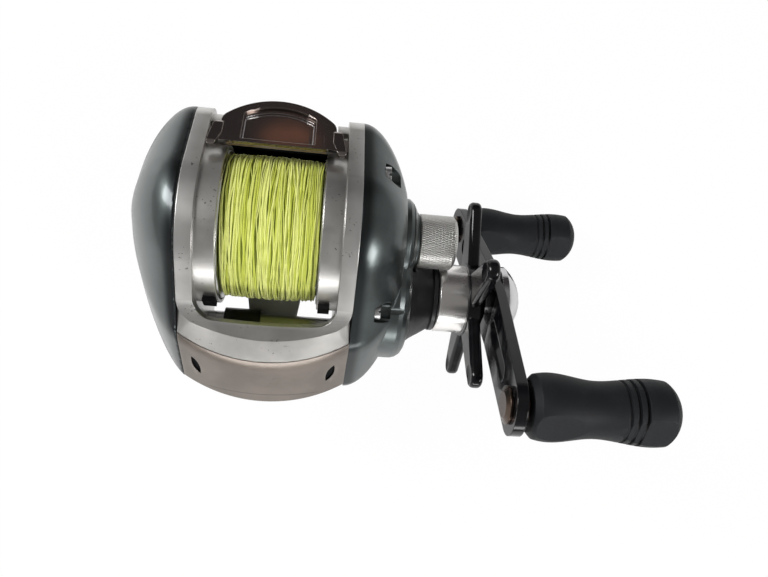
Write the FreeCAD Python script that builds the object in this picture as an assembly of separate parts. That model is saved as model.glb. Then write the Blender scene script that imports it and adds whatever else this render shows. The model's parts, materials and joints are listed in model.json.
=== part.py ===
"""Low-profile baitcasting reel, handle on the left hand of the angler, in millimetres.

Directions: +X runs along the spool axis to the handle, -Y is where the line leaves, +Z is up.
Every piece is drawn about the spool axis. save() then lifts it onto the reel foot, so that the
origin is the centre of the foot's underside, where the foot rests on a rod.
"""
import FreeCAD
import Part
import math
import os

# ---------------------------------------------------------------- driving dimensions
# where the spool axis stands above and behind the foot's centre
AXIS_BEHIND_FOOT = 3.0
FOOT_THICK = 2.4
DECK_UNDER = 20.2

# frame: two side walls seen from the side as a belt round six circles (y, z, radius)
SEAM_X = 19.0
RAIL_W = 3.5
TOP_R = 18.9
TAIL = (19.5, -1.0, 7.0)
SHOULDER = (-20.0, 0.0, 9.5)
NOSE = (-33.0, -7.0, 4.0)
KEEL_FRONT = (-24.5, -14.3, 7.2)
KEEL_REAR = (11.0, -15.5, 6.0)
BAR_THICK = 2.2
BOW_R = 36.0
SEAM_ANGLE = 121.0
CREST_Y = -25.2
CREST_BOW_R = 42.0
CREST_CORNER_R = 5.6
WINDOW_FRONT_Y = -21.8
WINDOW_BOW_R = 160.0
WINDOW_CORNER_R = 4.6
WINDOW_DRAFT = 0.4
ROOT_STEP = 0.1
APRON_Z = 10.7
APRON_FALL = 0.04
KNEE_R = 12.0
SHELF_W = 2.5
DECK_THICK = 1.8
CHIN_LOW = 2.2
LEAF_R = 4.0
LEAF_W = 1.6
LEAF_X = 15.4
LEAF_TURN = 20.0

# spool, its line and the rings of the frame that close in on its flanges
LINE_HALF = 10.7
LINE_R = 16.6
LINE_CROWN = 0.5
FLANGE_R = 17.1
FLANGE_T = 0.9
DRUM_R = 10.0
DRUM_WALL = 1.1
BRAKE_PLATE_T = 1.4
BRAKE_DRUM_R = 11.6
BRAKE_DRUM_WALL = 1.0
BRAKE_DRUM_DEEP = 3.2
RING_GAP = 0.3
RING_WALL = 0.7
SHAFT_R = 1.1

# side plates
WALL = 1.6
PALM_BULGE = 13.5
GEAR_BULGE = 10.8
COVER_END = 0.964
CONE_R = 12.0
CONE_TIP_R = 7.9
PLATE_SHIFT = 6.6
HOUSING_X = 32.8
HOUSING_WALL = 2.3
HOUSING_ROUND = 3.0
HUB_R = 9.8
SCREW_HEAD_R = 1.9
SCREW_HEAD_T = 1.3
SCREW_R = 1.0
POCKET_LONG = 3.8
# (y, z, x of the head's seat, radius of the pocket) of the screws of the gear side plate
SCREWS = [(13.6, 8.9, 24.0, 2.6), (-16.9, 8.8, 24.0, 2.6), (10.0, -13.0, 23.2, 2.6)]

# gears: module, teeth, face
MAIN_MODULE = 0.5
MAIN_TEETH = 51
PINION_TEETH = 10
WIND_MODULE = 0.6
WIND_TEETH = 27
WORM_TEETH = 14
PRESSURE_ANGLE = 25.0
BACKLASH = 0.1
SHAFT_AHEAD = 13.4
WORM_AHEAD = 10.8
MAIN_FACE = 2.6
WIND_FACE = 1.8
CLUTCH_TRAVEL = 1.2
PINION_LONG = 5.6
PINION_COLLAR_R = 3.2
CAM_REACH = 9.2
CAM_DROP = 4.4
CAM_R = 2.2

# drive shaft, drag and bearings
DRIVE_R = 3.0
DRIVE_TIP_R = 2.0
DRAG_R = 9.5
WASHER_T = 0.7
RUNNING = 0.04
GAP = 0.3
BEARING_R = 4.0
BEARING_W = 2.4

# star wheel, handle and knobs
SLEEVE_R = 8.45
SLEEVE_X = 40.1
STAR_X = 49.0
STAR_THICK = 3.4
STAR_HUB_R = 9.2
STAR_R = 24.6
STAR_TIP_R = 2.7
STAR_ROOT_R = 4.4
STAR_FINGER = 3.0
STAR_ROUND = 1.1
STAR_ARMS = 5
STAR_ANGLE = 37.8
ARM_X = 53.3
ARM_THICK = 2.4
ARM_LENGTH = 38.5
ARM_ANGLE = 59.3
ARM_SWEEP = 1.7
ARM_HUB_R = 8.0
ARM_END_R = 6.3
SLOT_W = 4.4
NUT_R = 8.9
NUT_TALL = 5.9
KNOB_LONG = 32.1
KNOB_END_R = 7.1
KNOB_WAIST_R = 6.0
KNOB_FLAT = 6.2
POST_R = 2.0

# cast control
CAP_R = 6.45
CAP_LONG = 8.8
CAP_WALL = 1.2

# level wind
WORM_R = 2.1
WORM_END_R = 1.5
BUSH_W = 1.4
WORM_LEAD = 7.0
WORM_TURNS = 3.5
GROOVE_R = 0.45
TUBE_WALL = 0.7
CARRIAGE_W = 8.9
CARRIAGE_X = -7.0
GUIDE_BAR_R = 1.0
CARRIAGE_WALL = 1.0
EYE_HALF = 1.2
EYE_TALL = 2.6

# thumb bar
BAR_FRONT_Y = 17.4
ARM_BACK = 2.65
BAR_HALF = 12.6
BAR_LONG = 11.2
BAR_BOW_R = 18.0
BAR_CORNER_R = 2.6
POCKET_HALF = 8.0
POCKET_DEEP = 0.7
POCKET_MARGIN = 1.7
EAR_R = 0.9
BAR_TOP_Z = 12.4
BAR_SLOPE = 36.5
BAR_PLATE = 2.3
BAR_ARM = 2.6
PRESS_TRAVEL = 4.0
PRESS_BACK = 0.2

# foot
FOOT_HALF_LONG = 31.0
FOOT_HALF_W = 9.0
FOOT_END_R = 5.0
FOOT_TIP_T = 1.1
RIVET_R = 1.2

# ---------------------------------------------------------------- places worked out from them
RAIL_X = SEAM_X - RAIL_W
RING_R = FLANGE_R + RING_GAP
RING_X = LINE_HALF + GAP
OUTLINE = [TAIL, (0.0, 0.0, TOP_R), SHOULDER, NOSE, KEEL_FRONT, KEEL_REAR]
MAIN_R = MAIN_MODULE * MAIN_TEETH / 2
PINION_R = MAIN_MODULE * PINION_TEETH / 2
WIND_R = WIND_MODULE * WIND_TEETH / 2
WORM_GEAR_R = WIND_MODULE * WORM_TEETH / 2
SHAFT_Y = -SHAFT_AHEAD
SHAFT_Z = -math.sqrt((MAIN_R + PINION_R) ** 2 - SHAFT_AHEAD ** 2)
WORM_Y = SHAFT_Y - WORM_AHEAD
WORM_Z = SHAFT_Z - math.sqrt((WIND_R + WORM_GEAR_R) ** 2 - WORM_AHEAD ** 2)
WIND_X = SEAM_X + 0.6
RATCHET_X = WIND_X + WIND_FACE + 0.4
RATCHET_T = 0.9
MAIN_X = RATCHET_X + RATCHET_T + GAP
DRAG_X = MAIN_X + MAIN_FACE
PLATE_X = DRAG_X + 3 * WASHER_T
YOKE_X = SEAM_X + 1.8
YOKE_T = 0.8
GROOVE_X = YOKE_X - GAP
TEETH_X = YOKE_X + YOKE_T + GAP
PINION_BEARING_X = TEETH_X + PINION_LONG + CLUTCH_TRAVEL + GAP
TUBE_R = WORM_R + GAP + TUBE_WALL
CAVITY_R = MAIN_R + MAIN_MODULE + GAP
HOUSING_R = CAVITY_R + HOUSING_WALL
HOUSING_TIP_X = SLEEVE_X - 1.2
CAP_X = HOUSING_X + 0.9
BOSS_R = CAP_R - CAP_WALL - RUNNING
BOSS_TIP_X = CAP_X + 5.0
MOUTH_Z = NOSE[1] + 2.4
LIFT = DECK_UNDER + FOOT_THICK
BIG = 100.0


# ---------------------------------------------------------------- small helpers
def vec(x, y, z):
    return FreeCAD.Vector(x, y, z)


def rod(radius, x0, x1, y=0.0, z=0.0):
    """A cylinder along X."""
    return Part.makeCylinder(radius, x1 - x0, vec(x0, y, z), vec(1, 0, 0))


def tube(r_out, r_in, x0, x1, y=0.0, z=0.0):
    return rod(r_out, x0, x1, y, z).cut(rod(r_in, x0 - 1, x1 + 1, y, z))


def block(x0, x1, y0, y1, z0, z1):
    return Part.makeBox(x1 - x0, y1 - y0, z1 - z0, vec(x0, y0, z0))


def union(shapes):
    whole = shapes[0]
    for shape in shapes[1:]:
        whole = whole.fuse(shape)
    return whole.removeSplitter()


def mirrored(shape):
    return shape.mirror(vec(0, 0, 0), vec(1, 0, 0))


def belt(circles, x=0.0):
    """The closed outline of a belt round circles (y, z, radius), listed anticlockwise."""
    count = len(circles)
    normals = []
    for i in range(count):
        y0, z0, r0 = circles[i]
        y1, z1, r1 = circles[(i + 1) % count]
        span = math.hypot(y1 - y0, z1 - z0)
        normals.append(math.atan2(z1 - z0, y1 - y0) - math.acos((r0 - r1) / span))
    edges = []
    for i in range(count):
        y, z, r = circles[i]
        start = normals[i - 1]
        end = normals[i]
        while end < start:
            end += 2 * math.pi
        rim = [vec(x, y + r * math.cos(a), z + r * math.sin(a)) for a in (start, (start + end) / 2, end)]
        edges.append(Part.Arc(*rim).toShape())
        y1, z1, r1 = circles[(i + 1) % count]
        landing = vec(x, y1 + r1 * math.cos(end), z1 + r1 * math.sin(end))
        edges.append(Part.LineSegment(rim[2], landing).toShape())
    return Part.Wire(edges)


def prism(circles, x0, x1):
    """The belt outline as a slab from x0 to x1."""
    return Part.Face(belt(circles, x0)).extrude(vec(x1 - x0, 0, 0))


def inset(circles, depth):
    return [(y, z, r - depth) for y, z, r in circles]


def polygon(points, x=0.0):
    """A flat face at x through (y, z) points."""
    ring = [vec(x, y, z) for y, z in points]
    return Part.Face(Part.makePolygon(ring + ring[:1]))


def turned(profile, y=0.0, z=0.0):
    """A solid of revolution about X from (x, radius) points."""
    ring = [vec(x, y, z + r) for x, r in profile]
    return Part.Face(Part.makePolygon(ring + ring[:1])).revolve(vec(0, y, z), vec(1, 0, 0), 360)


def around(shape, angle, y=0.0, z=0.0):
    """A copy turned about an axis along X."""
    copy = shape.copy()
    copy.rotate(vec(0, y, z), vec(1, 0, 0), angle)
    return copy


def save(name, shape):
    shape = shape.copy()
    shape.translate(vec(0, AXIS_BEHIND_FOOT, LIFT))
    shape.exportStep("parts/" + name + ".step")


# ---------------------------------------------------------------- frame
def bow(x):
    """How far the front stands ahead of the side walls, so that it is an arc seen from above."""
    at_wall = BOW_R - math.sqrt(BOW_R ** 2 - SEAM_X ** 2)
    return BOW_R - math.sqrt(BOW_R ** 2 - x ** 2) - at_wall


def seam_point(depth=0.0):
    """Where the hood meets the crossbar on the shoulder, depth below its surface."""
    y, z, r = SHOULDER
    angle = math.radians(SEAM_ANGLE)
    return y + (r - depth) * math.cos(angle), z + (r - depth) * math.sin(angle)


def bowed_wire(z, half, mid_y, bow_r, corner_r, back_y):
    """A closed outline seen from above: a bowed front with round corners, straight sides and back."""
    bow_y = mid_y + bow_r
    corner_y = bow_y - math.sqrt((bow_r - corner_r) ** 2 - (half - corner_r) ** 2)
    aim = math.atan2(half - corner_r, bow_y - corner_y)
    side = vec(half, corner_y, z)
    landing = vec(bow_r * math.sin(aim), bow_y - bow_r * math.cos(aim), z)
    turn = (math.pi / 2 + aim) / 2
    middle = vec(half - corner_r + corner_r * math.sin(turn), corner_y - corner_r * math.cos(turn), z)
    left = [vec(-p.x, p.y, z) for p in (side, middle, landing)]
    back = [vec(half, back_y, z), vec(-half, back_y, z)]
    curves = [Part.LineSegment(back[0], side), Part.Arc(side, middle, landing),
              Part.Arc(landing, vec(0, mid_y, z), left[2]), Part.Arc(left[2], left[1], left[0]),
              Part.LineSegment(left[0], back[1]), Part.LineSegment(back[1], back[0])]
    return Part.Wire([curve.toShape() for curve in curves])


def shoulder_run():
    """(y, z) of both ends of the straight run from the top of the side walls down to the shoulder."""
    top, shoulder = OUTLINE[1:3]
    span = math.hypot(shoulder[0] - top[0], shoulder[1] - top[1])
    normal = toward(top[0], top[1], shoulder[0], shoulder[1]) - math.acos((top[2] - shoulder[2]) / span)
    return [(y + r * math.cos(normal), z + r * math.sin(normal)) for y, z, r in (top, shoulder)]


def window():
    """The opening over the spool, with round front corners and a sloping front wall."""
    low, high = APRON_Z - 4.0, APRON_Z + 12.0
    wires = []
    for z in (low, high):
        front = WINDOW_FRONT_Y - WINDOW_DRAFT * (z - APRON_Z) / BAR_THICK
        wires.append(bowed_wire(z, RAIL_X, front, WINDOW_BOW_R, WINDOW_CORNER_R, BIG / 4))
    return Part.makeLoft(wires, True, True)


def apron_profile():
    """The crossbar from the side: the rails' fall eases into a nearly level apron over a flat base."""
    base = seam_point(0.1)[1]
    start, end = shoulder_run()
    steep = math.atan2(start[1] - end[1], start[0] - end[0])
    level = math.atan(APRON_FALL)
    knee_y = start[0] + (APRON_Z - start[1]) / math.tan(steep)
    reach = KNEE_R * math.tan((steep - level) / 2)
    lift = KNEE_R / math.cos((steep - level) / 2) - KNEE_R
    tilt = (steep + level) / 2
    rear = WINDOW_FRONT_Y + WINDOW_CORNER_R + 0.3
    front = -BIG / 2
    before = vec(-SEAM_X, knee_y + reach * math.cos(steep), APRON_Z + reach * math.sin(steep))
    middle = vec(-SEAM_X, knee_y - lift * math.sin(tilt), APRON_Z + lift * math.cos(tilt))
    after = vec(-SEAM_X, knee_y - reach * math.cos(level), APRON_Z - reach * math.sin(level))
    far = vec(-SEAM_X, front, APRON_Z + (front - knee_y) * APRON_FALL)
    top = vec(-SEAM_X, rear, start[1] + (rear - start[0]) * math.tan(steep))
    under = [vec(-SEAM_X, front, base), vec(-SEAM_X, rear, base)]
    straight = Part.makePolygon([after, far] + under + [top, before])
    return Part.Face(Part.Wire([Part.Arc(before, middle, after).toShape()] + straight.Edges))


def front_envelope():
    """The space that the frame's front fills: bowed at the seam, smaller and rounder at its crest."""
    y, z = seam_point(0.1)
    seam_wire = bowed_wire(z, SEAM_X, y + bow(0), BOW_R, 1.0, 0.0)
    crest_wire = bowed_wire(APRON_Z - 0.2, SEAM_X, CREST_Y, CREST_BOW_R, CREST_CORNER_R, 0.0)
    body = Part.makeLoft([seam_wire, crest_wire], True, True)
    return body.fuse(Part.Face(crest_wire).extrude(vec(0, 0, BIG / 10)))


def crossbar():
    """The bar ahead of the spool: an apron round the window, a band down to the seam, and its root."""
    slab = apron_profile().extrude(vec(2 * SEAM_X, 0, 0))
    return slab.cut(window()).fuse(crossbar_root()).removeSplitter()


def corner_waste():
    """What is cut from the frame's front corners to follow the envelope."""
    z = seam_point(0.1)[1]
    return block(-SEAM_X - 1, SEAM_X + 1, -BIG / 2 - 1, CREST_Y / 2, z, z + BIG / 10).cut(front_envelope())


def crossbar_root():
    """The part of the crossbar behind the hood's top edge, a small step behind the band above it."""
    seam = seam_point(0.1)
    under = seam_point(BAR_THICK + 0.6)
    sections = []
    for step in range(5):
        x = RAIL_X * (step - 2) / 2
        ahead = bow(x)
        inner = WINDOW_FRONT_Y + WINDOW_DRAFT
        lip = seam[0] + ahead + ROOT_STEP
        corners = [(inner, seam[1] + 0.3), (lip + 1.0, seam[1] + 0.3), (lip, seam[1]),
                   (under[0] + ahead + ROOT_STEP, under[1]), (inner, seam[1] - 0.6)]
        ring = [vec(x, y, z) for y, z in corners]
        sections.append(Part.makePolygon(ring + ring[:1]))
    return Part.makeLoft(sections, True, False)


def side_wall():
    """The wall on the handle side: full height behind the hood's seam, stepped down under the hood."""
    front = polygon([seam_point(-3), seam_point(8), (-BIG, -BIG), (-BIG, BIG)], RAIL_X)
    front = front.extrude(vec(RAIL_W, 0, 0))
    full = prism(OUTLINE, RAIL_X, SEAM_X).cut(front)
    return full.fuse(prism(inset(OUTLINE, BAR_THICK), RAIL_X, SEAM_X))


def thumb_slot(reach):
    """The slot that the thumb bar's arm slides in, closed under the top of the rail."""
    back = PRESS_BACK * PRESS_TRAVEL
    front = arm_y() - BAR_ARM / 2 - GAP
    low = arm_z() - BAR_ARM / 2 - PRESS_TRAVEL - GAP
    high = arm_z() + BAR_ARM / 2 + GAP
    return block(RAIL_X - 1, reach, front, front + BAR_ARM + 2 * GAP + back, low, high)


def arm_y():
    """Middle of the thumb bar's arms."""
    return BAR_FRONT_Y + ARM_BACK


def arm_z():
    return BAR_TOP_Z - 9.5


def frame():
    hollow = rod(RING_R, -BIG, RAIL_X + 0.001)
    gear_wall = side_wall().cut(thumb_slot(SEAM_X + 1))
    gear_wall = gear_wall.cut(rod(PINION_COLLAR_R + GAP, RAIL_X - 1, SEAM_X + 1))
    gear_wall = gear_wall.cut(rod(BEARING_R, SEAM_X - BEARING_W, SEAM_X + 1, SHAFT_Y, SHAFT_Z))
    gear_wall = gear_wall.cut(rod(TUBE_R, RAIL_X - 1, SEAM_X + 1, WORM_Y, WORM_Z))
    palm_wall = mirrored(side_wall().cut(thumb_slot(SEAM_X - 1.2)))
    palm_wall = palm_wall.cut(rod(TUBE_R, -SEAM_X + 1.0, -RAIL_X + 1, WORM_Y, WORM_Z))
    walls = [wall.cut(guide_bar()) for wall in (gear_wall, palm_wall)]
    rings = [tube(RING_R + RING_WALL, RING_R, x0, x0 + RAIL_X - RING_X) for x0 in (-RAIL_X, RING_X)]
    shell = prism(OUTLINE, -RAIL_X, RAIL_X).cut(prism(inset(OUTLINE, BAR_THICK), -RAIL_X - 1, RAIL_X + 1))
    chin = shell.common(block(-RAIL_X, RAIL_X, NOSE[0] + 1, -24.0, -BIG, KEEL_FRONT[1] - CHIN_LOW))
    rear = block(-RAIL_X, RAIL_X, 19.5, BIG, -14.0, -7.0).common(prism(OUTLINE, -RAIL_X, RAIL_X))
    deck = block(-RAIL_X, RAIL_X, -13.5, 13.0, -DECK_UNDER, -DECK_UNDER + DECK_THICK)
    shelf = prism(inset(OUTLINE, 1.2), RAIL_X - SHELF_W, RAIL_X).common(block(0, BIG, 22.8, BIG, -2.0, BIG))
    front = [piece.cut(corner_waste()) for piece in walls + [crossbar()]]
    body = union(front + [chin, rear, deck, shelf, mirrored(shelf)] + rings)
    return body.cut(hollow).cut(foot_rivets()).cut(foot_blank())


def hood_section():
    """The hood's wall seen from the side: the frame's outline from the seam down to the mouth."""
    band = Part.Face(belt(OUTLINE)).cut(Part.Face(belt(inset(OUTLINE, BAR_THICK - 0.05))))
    high = seam_point(-3)
    zone = polygon([high, seam_point(5), (-29, MOUTH_Z), (-46, MOUTH_Z), (-46, high[1])])
    return band.common(zone).Faces[0].OuterWire


def leaf(side):
    """A slender leaf-shaped slot through the hood near one end, drawn along Z."""
    offset = LEAF_R - LEAF_W / 2
    halves = [Part.makeCylinder(LEAF_R, BIG / 10, vec(x, 0, -3)) for x in (-offset, offset)]
    slot = halves[0].common(halves[1])
    slot.rotate(vec(0, 0, 0), vec(0, 0, 1), -side * LEAF_TURN)
    slot.translate(vec(side * LEAF_X, NOSE[0] + 0.3, 0))
    return slot


def front_hood():
    """The hood ahead of the level wind: the outline's front, swept along the bow."""
    wire = hood_section()
    sections = []
    for step in range(7):
        x = SEAM_X * (step - 3) / 3
        copy = wire.copy()
        copy.translate(vec(x, bow(x), 0))
        sections.append(copy)
    return Part.makeLoft(sections, True, False).cut(leaf(1)).cut(leaf(-1))


def foot_rivets():
    """Three rivets through the foot and the deck, headed on the deck."""
    pins = []
    low = -LIFT + 0.2
    high = -DECK_UNDER + DECK_THICK
    for y in (-9.0, 0.0, 9.0):
        shank = Part.makeCylinder(RIVET_R, high - low, vec(0, y, low))
        head = Part.makeCylinder(RIVET_R * 1.6, 0.5, vec(0, y, high))
        pins.append(shank.fuse(head).removeSplitter())
    return Part.makeCompound(pins)


def plan_prism(circles, z0, z1):
    """A belt outline seen from above, with circles given as (y, x, radius), from z0 up to z1."""
    plate = Part.Face(belt(circles)).extrude(vec(z1 - z0, 0, 0))
    plate.rotate(vec(0, 0, 0), vec(0, 1, 0), -90)
    plate.translate(vec(0, 0, z0))
    return plate


def foot_blank():
    """The foot's outline at its full thickness, which the frame is cut away for."""
    mid = -AXIS_BEHIND_FOOT
    tip = FOOT_HALF_LONG - FOOT_END_R
    centre = (mid, 0.0, FOOT_HALF_W)
    outline = [(mid + tip, 0.0, FOOT_END_R), centre, (mid - tip, 0.0, FOOT_END_R), centre]
    return plan_prism(outline, -LIFT, -LIFT + FOOT_THICK)


def foot():
    """The foot that a rod's reel seat clamps: wide in the middle, tapered and thinned to each end."""
    mid = -AXIS_BEHIND_FOOT
    plate = foot_blank()
    ends = [(mid + side * y, z - LIFT) for side, y, z in (
        (-1, FOOT_HALF_LONG + 1, 0), (-1, FOOT_HALF_LONG + 1, FOOT_TIP_T), (-1, 14, FOOT_THICK),
        (1, 14, FOOT_THICK), (1, FOOT_HALF_LONG + 1, FOOT_TIP_T), (1, FOOT_HALF_LONG + 1, 0))]
    wedge = polygon(ends, -BIG).extrude(vec(2 * BIG, 0, 0))
    return plate.common(wedge).cut(foot_rivets())


# ---------------------------------------------------------------- side plates
def dome(bulge, depth):
    """A bulging cover: the frame's outline, shrinking as it leaves the seam, loft through its sections."""
    mid_y = (TAIL[0] + TAIL[2] + NOSE[0] - NOSE[2]) / 2
    mid_z = (TOP_R + KEEL_REAR[1] - KEEL_REAR[2]) / 2
    sections = []
    for h in (0.0, 0.2, 0.42, 0.63, 0.8, 0.92, 0.98):
        scale = (1 - h ** 1.5) ** 0.6
        shift = mid_y * (1 - scale) + PLATE_SHIFT * h
        lift = mid_z * (1 - scale)
        circles = [(y * scale + shift, z * scale + lift, (r - depth) * scale) for y, z, r in OUTLINE]
        sections.append(belt(circles, SEAM_X + h * (bulge - depth)))
    return Part.makeLoft(sections, True, False)





def palm_plate():
    """The cover on the palm side: a smooth shell, with a hub inside that holds the brake plate."""
    shell = dome(PALM_BULGE, 0.0).cut(dome(PALM_BULGE, WALL))
    post = rod(3.0, SEAM_X, SEAM_X + PALM_BULGE - WALL + 0.2)
    return mirrored(shell.fuse(post.common(dome(PALM_BULGE, 0.3))).removeSplitter())


def brake_plate():
    """The disc that closes the frame on the palm side, with the bearing's cup and the brake drum."""
    face = -SEAM_X + BRAKE_PLATE_T
    rim = RING_R - 0.1
    drum = BRAKE_DRUM_R - BRAKE_DRUM_WALL
    cup = BEARING_R + BRAKE_PLATE_T
    disc = turned([(-SEAM_X, 0), (-SEAM_X, rim), (face, rim), (face, BRAKE_DRUM_R),
                   (face + BRAKE_DRUM_DEEP, BRAKE_DRUM_R), (face + BRAKE_DRUM_DEEP, drum), (face, drum),
                   (face, cup), (face + BEARING_W, cup), (face + BEARING_W, 0)])
    return disc.cut(rod(BEARING_R, face, face + 2 * BEARING_W))


def bearing(bore, x0, y=0.0, z=0.0):
    """A shielded ball bearing: a ring with a shallow groove in each side between its races."""
    ring = tube(BEARING_R, bore + RUNNING, x0, x0 + BEARING_W, y, z)
    mid = (BEARING_R + bore) / 2
    for x in (x0 - 0.5, x0 + BEARING_W - 0.25):
        ring = ring.cut(tube(mid + 0.45, mid - 0.45, x, x + 0.75, y, z))
    return ring


def gear_cover(depth):
    """The handle-side cover: the outline drawn in towards the gear housing and the spindle's hub."""
    hub = (0.0, 0.0, HUB_R)
    crown = (SHAFT_Y + 2.9, SHAFT_Z + 4.8, HUB_R + 0.2)
    brow = (SHAFT_Y - 2.1, SHAFT_Z + 0.3, HUB_R - 4.8)
    jaw = (SHAFT_Y - 0.6, SHAFT_Z - 2.7, HUB_R - 3.8)
    sections = []
    for h in (0.0, 0.22, 0.45, 0.64, 0.8, 0.92, 1.0):
        drawn = 1 - (1 - (COVER_END * h) ** 1.9) ** 0.78
        circles = [tuple(a + (b - a) * drawn for a, b in zip(circle, aim))
                   for circle, aim in zip(OUTLINE, (hub, hub, crown, brow, jaw, hub))]
        sections.append(belt(inset(circles, depth), SEAM_X + h * (GEAR_BULGE - depth)))
    return Part.makeLoft(sections, True, False)


def spindle_hub():
    """The stepped hub round the spindle, with the threaded boss that the cast-control cap screws on."""
    base = SEAM_X + GEAR_BULGE
    return turned([(base - WALL, 0), (base - WALL, HUB_R), (base + 0.4, HUB_R), (base + 1.2, HUB_R - 0.1),
                   (base + 2.0, HUB_R - 0.7), (base + 2.0, HUB_R - 1.3), (base + 2.25, HUB_R - 1.3),
                   (base + 2.25, HUB_R - 1.0), (base + 2.9, HUB_R - 2.1), (base + 3.3, HUB_R - 3.1),
                   (base + 3.3, CAP_R + 0.2), (CAP_X - GAP, CAP_R + 0.2), (CAP_X - GAP, BOSS_R),
                   (BOSS_TIP_X, BOSS_R), (BOSS_TIP_X, 0)])


def gear_plate():
    """The handle-side cover with its round gear housing, screw pockets and the spindle's hub."""
    side = HOUSING_X - HOUSING_ROUND
    housing = turned([(SEAM_X, 0), (SEAM_X, HOUSING_R), (side, HOUSING_R),
                      (HOUSING_X - 1.9, HOUSING_R - 0.3), (HOUSING_X - 0.9, HOUSING_R - 1.0),
                      (HOUSING_X - 0.25, HOUSING_R - 2.1), (HOUSING_X, HOUSING_R - HOUSING_ROUND),
                      (HOUSING_X, 0)], SHAFT_Y, SHAFT_Z)
    bottom = KEEL_REAR[1] - KEEL_REAR[2]
    cover = gear_cover(0.0)
    for y, z, seat, pocket in SCREWS:
        cover = cover.cut(rod(pocket, seat, seat + POCKET_LONG, y, z))
    outside = union([cover, housing, spindle_hub()])
    outside = outside.common(block(0, BIG, -BIG, BIG, bottom, BIG))
    inside = gear_cover(WALL)
    for y, z, seat, pocket in SCREWS:
        inside = inside.cut(rod(pocket + 0.9, SEAM_X - 1, BIG, y, z))
    inside = inside.fuse(rod(CAVITY_R, SEAM_X - 1, HOUSING_X - WALL, SHAFT_Y, SHAFT_Z))
    inside = inside.fuse(rod(WORM_GEAR_R + WIND_MODULE + GAP, SEAM_X - 1, worm_end() + GAP, WORM_Y, WORM_Z))
    inside = inside.common(block(-BIG, BIG, -BIG, BIG, bottom + 0.9, BIG))
    hub_x = PINION_BEARING_X
    inside = inside.cut(rod(BEARING_R + 1.2, hub_x, BIG))
    plate = outside.cut(inside)
    plate = plate.cut(rod(BEARING_R, hub_x - 1, hub_x + BEARING_W))
    plate = plate.cut(rod(PINION_R - 0.1, hub_x, BOSS_TIP_X + 1))
    plate = plate.cut(rod(BEARING_R, BOSS_TIP_X - BEARING_W - 0.2, BOSS_TIP_X + 1))
    plate = plate.cut(rod(clutch_r(), SEAM_X, BIG, SHAFT_Y, SHAFT_Z))
    for y, z, seat, pocket in SCREWS:
        plate = plate.cut(rod(SCREW_HEAD_R + 0.1, seat, seat + POCKET_LONG, y, z))
        plate = plate.cut(rod(SCREW_R, SEAM_X - 1, BIG, y, z))
    return plate


def clutch_r():
    """Outside of the one-way roller clutch round the drive sleeve."""
    return DRIVE_R + 1.0 + 1.6


def plate_screws():
    """Screws with a slotted head, which run from the plate's pockets into the frame."""
    screws = []
    for y, z, seat, pocket in SCREWS:
        head = rod(SCREW_HEAD_R, seat, seat + SCREW_HEAD_T, y, z)
        slot = block(seat + SCREW_HEAD_T - 0.5, BIG, y - 0.25, y + 0.25, z - 3, z + 3)
        shank = rod(SCREW_R, SEAM_X + 0.01, seat, y, z)
        screws.append(head.cut(slot).fuse(shank))
    return Part.makeCompound(screws)


def clutch_housing():
    """The black flared cone that carries the one-way clutch, with a ring at its tip."""
    tip = SLEEVE_X - 0.3
    bore = DRIVE_R + 1.0 + GAP
    cone = turned([(HOUSING_X, clutch_r()), (HOUSING_X, CONE_R), (HOUSING_X + 1.6, CONE_R - 1.3),
                   (HOUSING_X + 3.6, CONE_R - 2.5), (HOUSING_TIP_X, CONE_TIP_R),
                   (HOUSING_TIP_X, SLEEVE_R - 0.1), (tip, SLEEVE_R - 0.1), (tip, bore), (tip - 0.9, bore),
                   (tip - 0.9, clutch_r())], SHAFT_Y, SHAFT_Z)
    return cone.cut(rod(HUB_R - 1.8, HOUSING_X - 1, CAP_X)).cut(rod(CAP_R + GAP, HOUSING_X - 1, BIG))


def one_way_clutch():
    return tube(clutch_r(), DRIVE_R + 1.0 + RUNNING, HOUSING_X - WALL, SLEEVE_X - 1.3, SHAFT_Y, SHAFT_Z)


# ---------------------------------------------------------------- spool
def spool():
    """A drum with flanges, and a web that sits on the spindle."""
    edge = LINE_HALF + FLANGE_T
    half = [(0, DRUM_R), (LINE_HALF - 0.4, DRUM_R), (LINE_HALF, DRUM_R + 0.6), (LINE_HALF, FLANGE_R - 0.3),
            (LINE_HALF + 0.3, FLANGE_R), (edge, FLANGE_R), (edge, FLANGE_R - 1.4),
            (edge - 0.5, FLANGE_R - 2.2), (edge - 0.3, DRUM_R - DRUM_WALL), (3.0, DRUM_R - DRUM_WALL),
            (2.4, SHAFT_R + 1.5), (5.0, SHAFT_R + 1.2), (5.0, SHAFT_R)]
    profile = half + [(-x, r) for x, r in reversed(half[1:])]
    return turned(profile)


def wound_line():
    """The line's outside on the spool, crowned a little in the middle."""
    edge = LINE_HALF - 0.05
    low = DRUM_R + 0.65
    high = LINE_R - LINE_CROWN
    floor = DRUM_R + 0.01
    crest = Part.Arc(vec(-edge, 0, high), vec(0, 0, LINE_R), vec(edge, 0, high))
    sides = Part.makePolygon([vec(edge, 0, high), vec(edge, 0, low), vec(edge - 0.7, 0, floor),
                              vec(0.7 - edge, 0, floor), vec(-edge, 0, low), vec(-edge, 0, high)])
    outline = Part.Wire([crest.toShape()] + sides.Edges)
    return Part.Face(outline).revolve(vec(0, 0, 0), vec(1, 0, 0), 360)


def spindle_end():
    return BOSS_TIP_X + 0.6


def spool_shaft():
    pin_x = RAIL_X + 1.6
    shaft = rod(SHAFT_R, -SEAM_X + 1.7, spindle_end())
    pin = Part.makeCylinder(0.4, 5.0, vec(pin_x, -2.5, 0), vec(0, 1, 0))
    return shaft.fuse(pin).removeSplitter()


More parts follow.
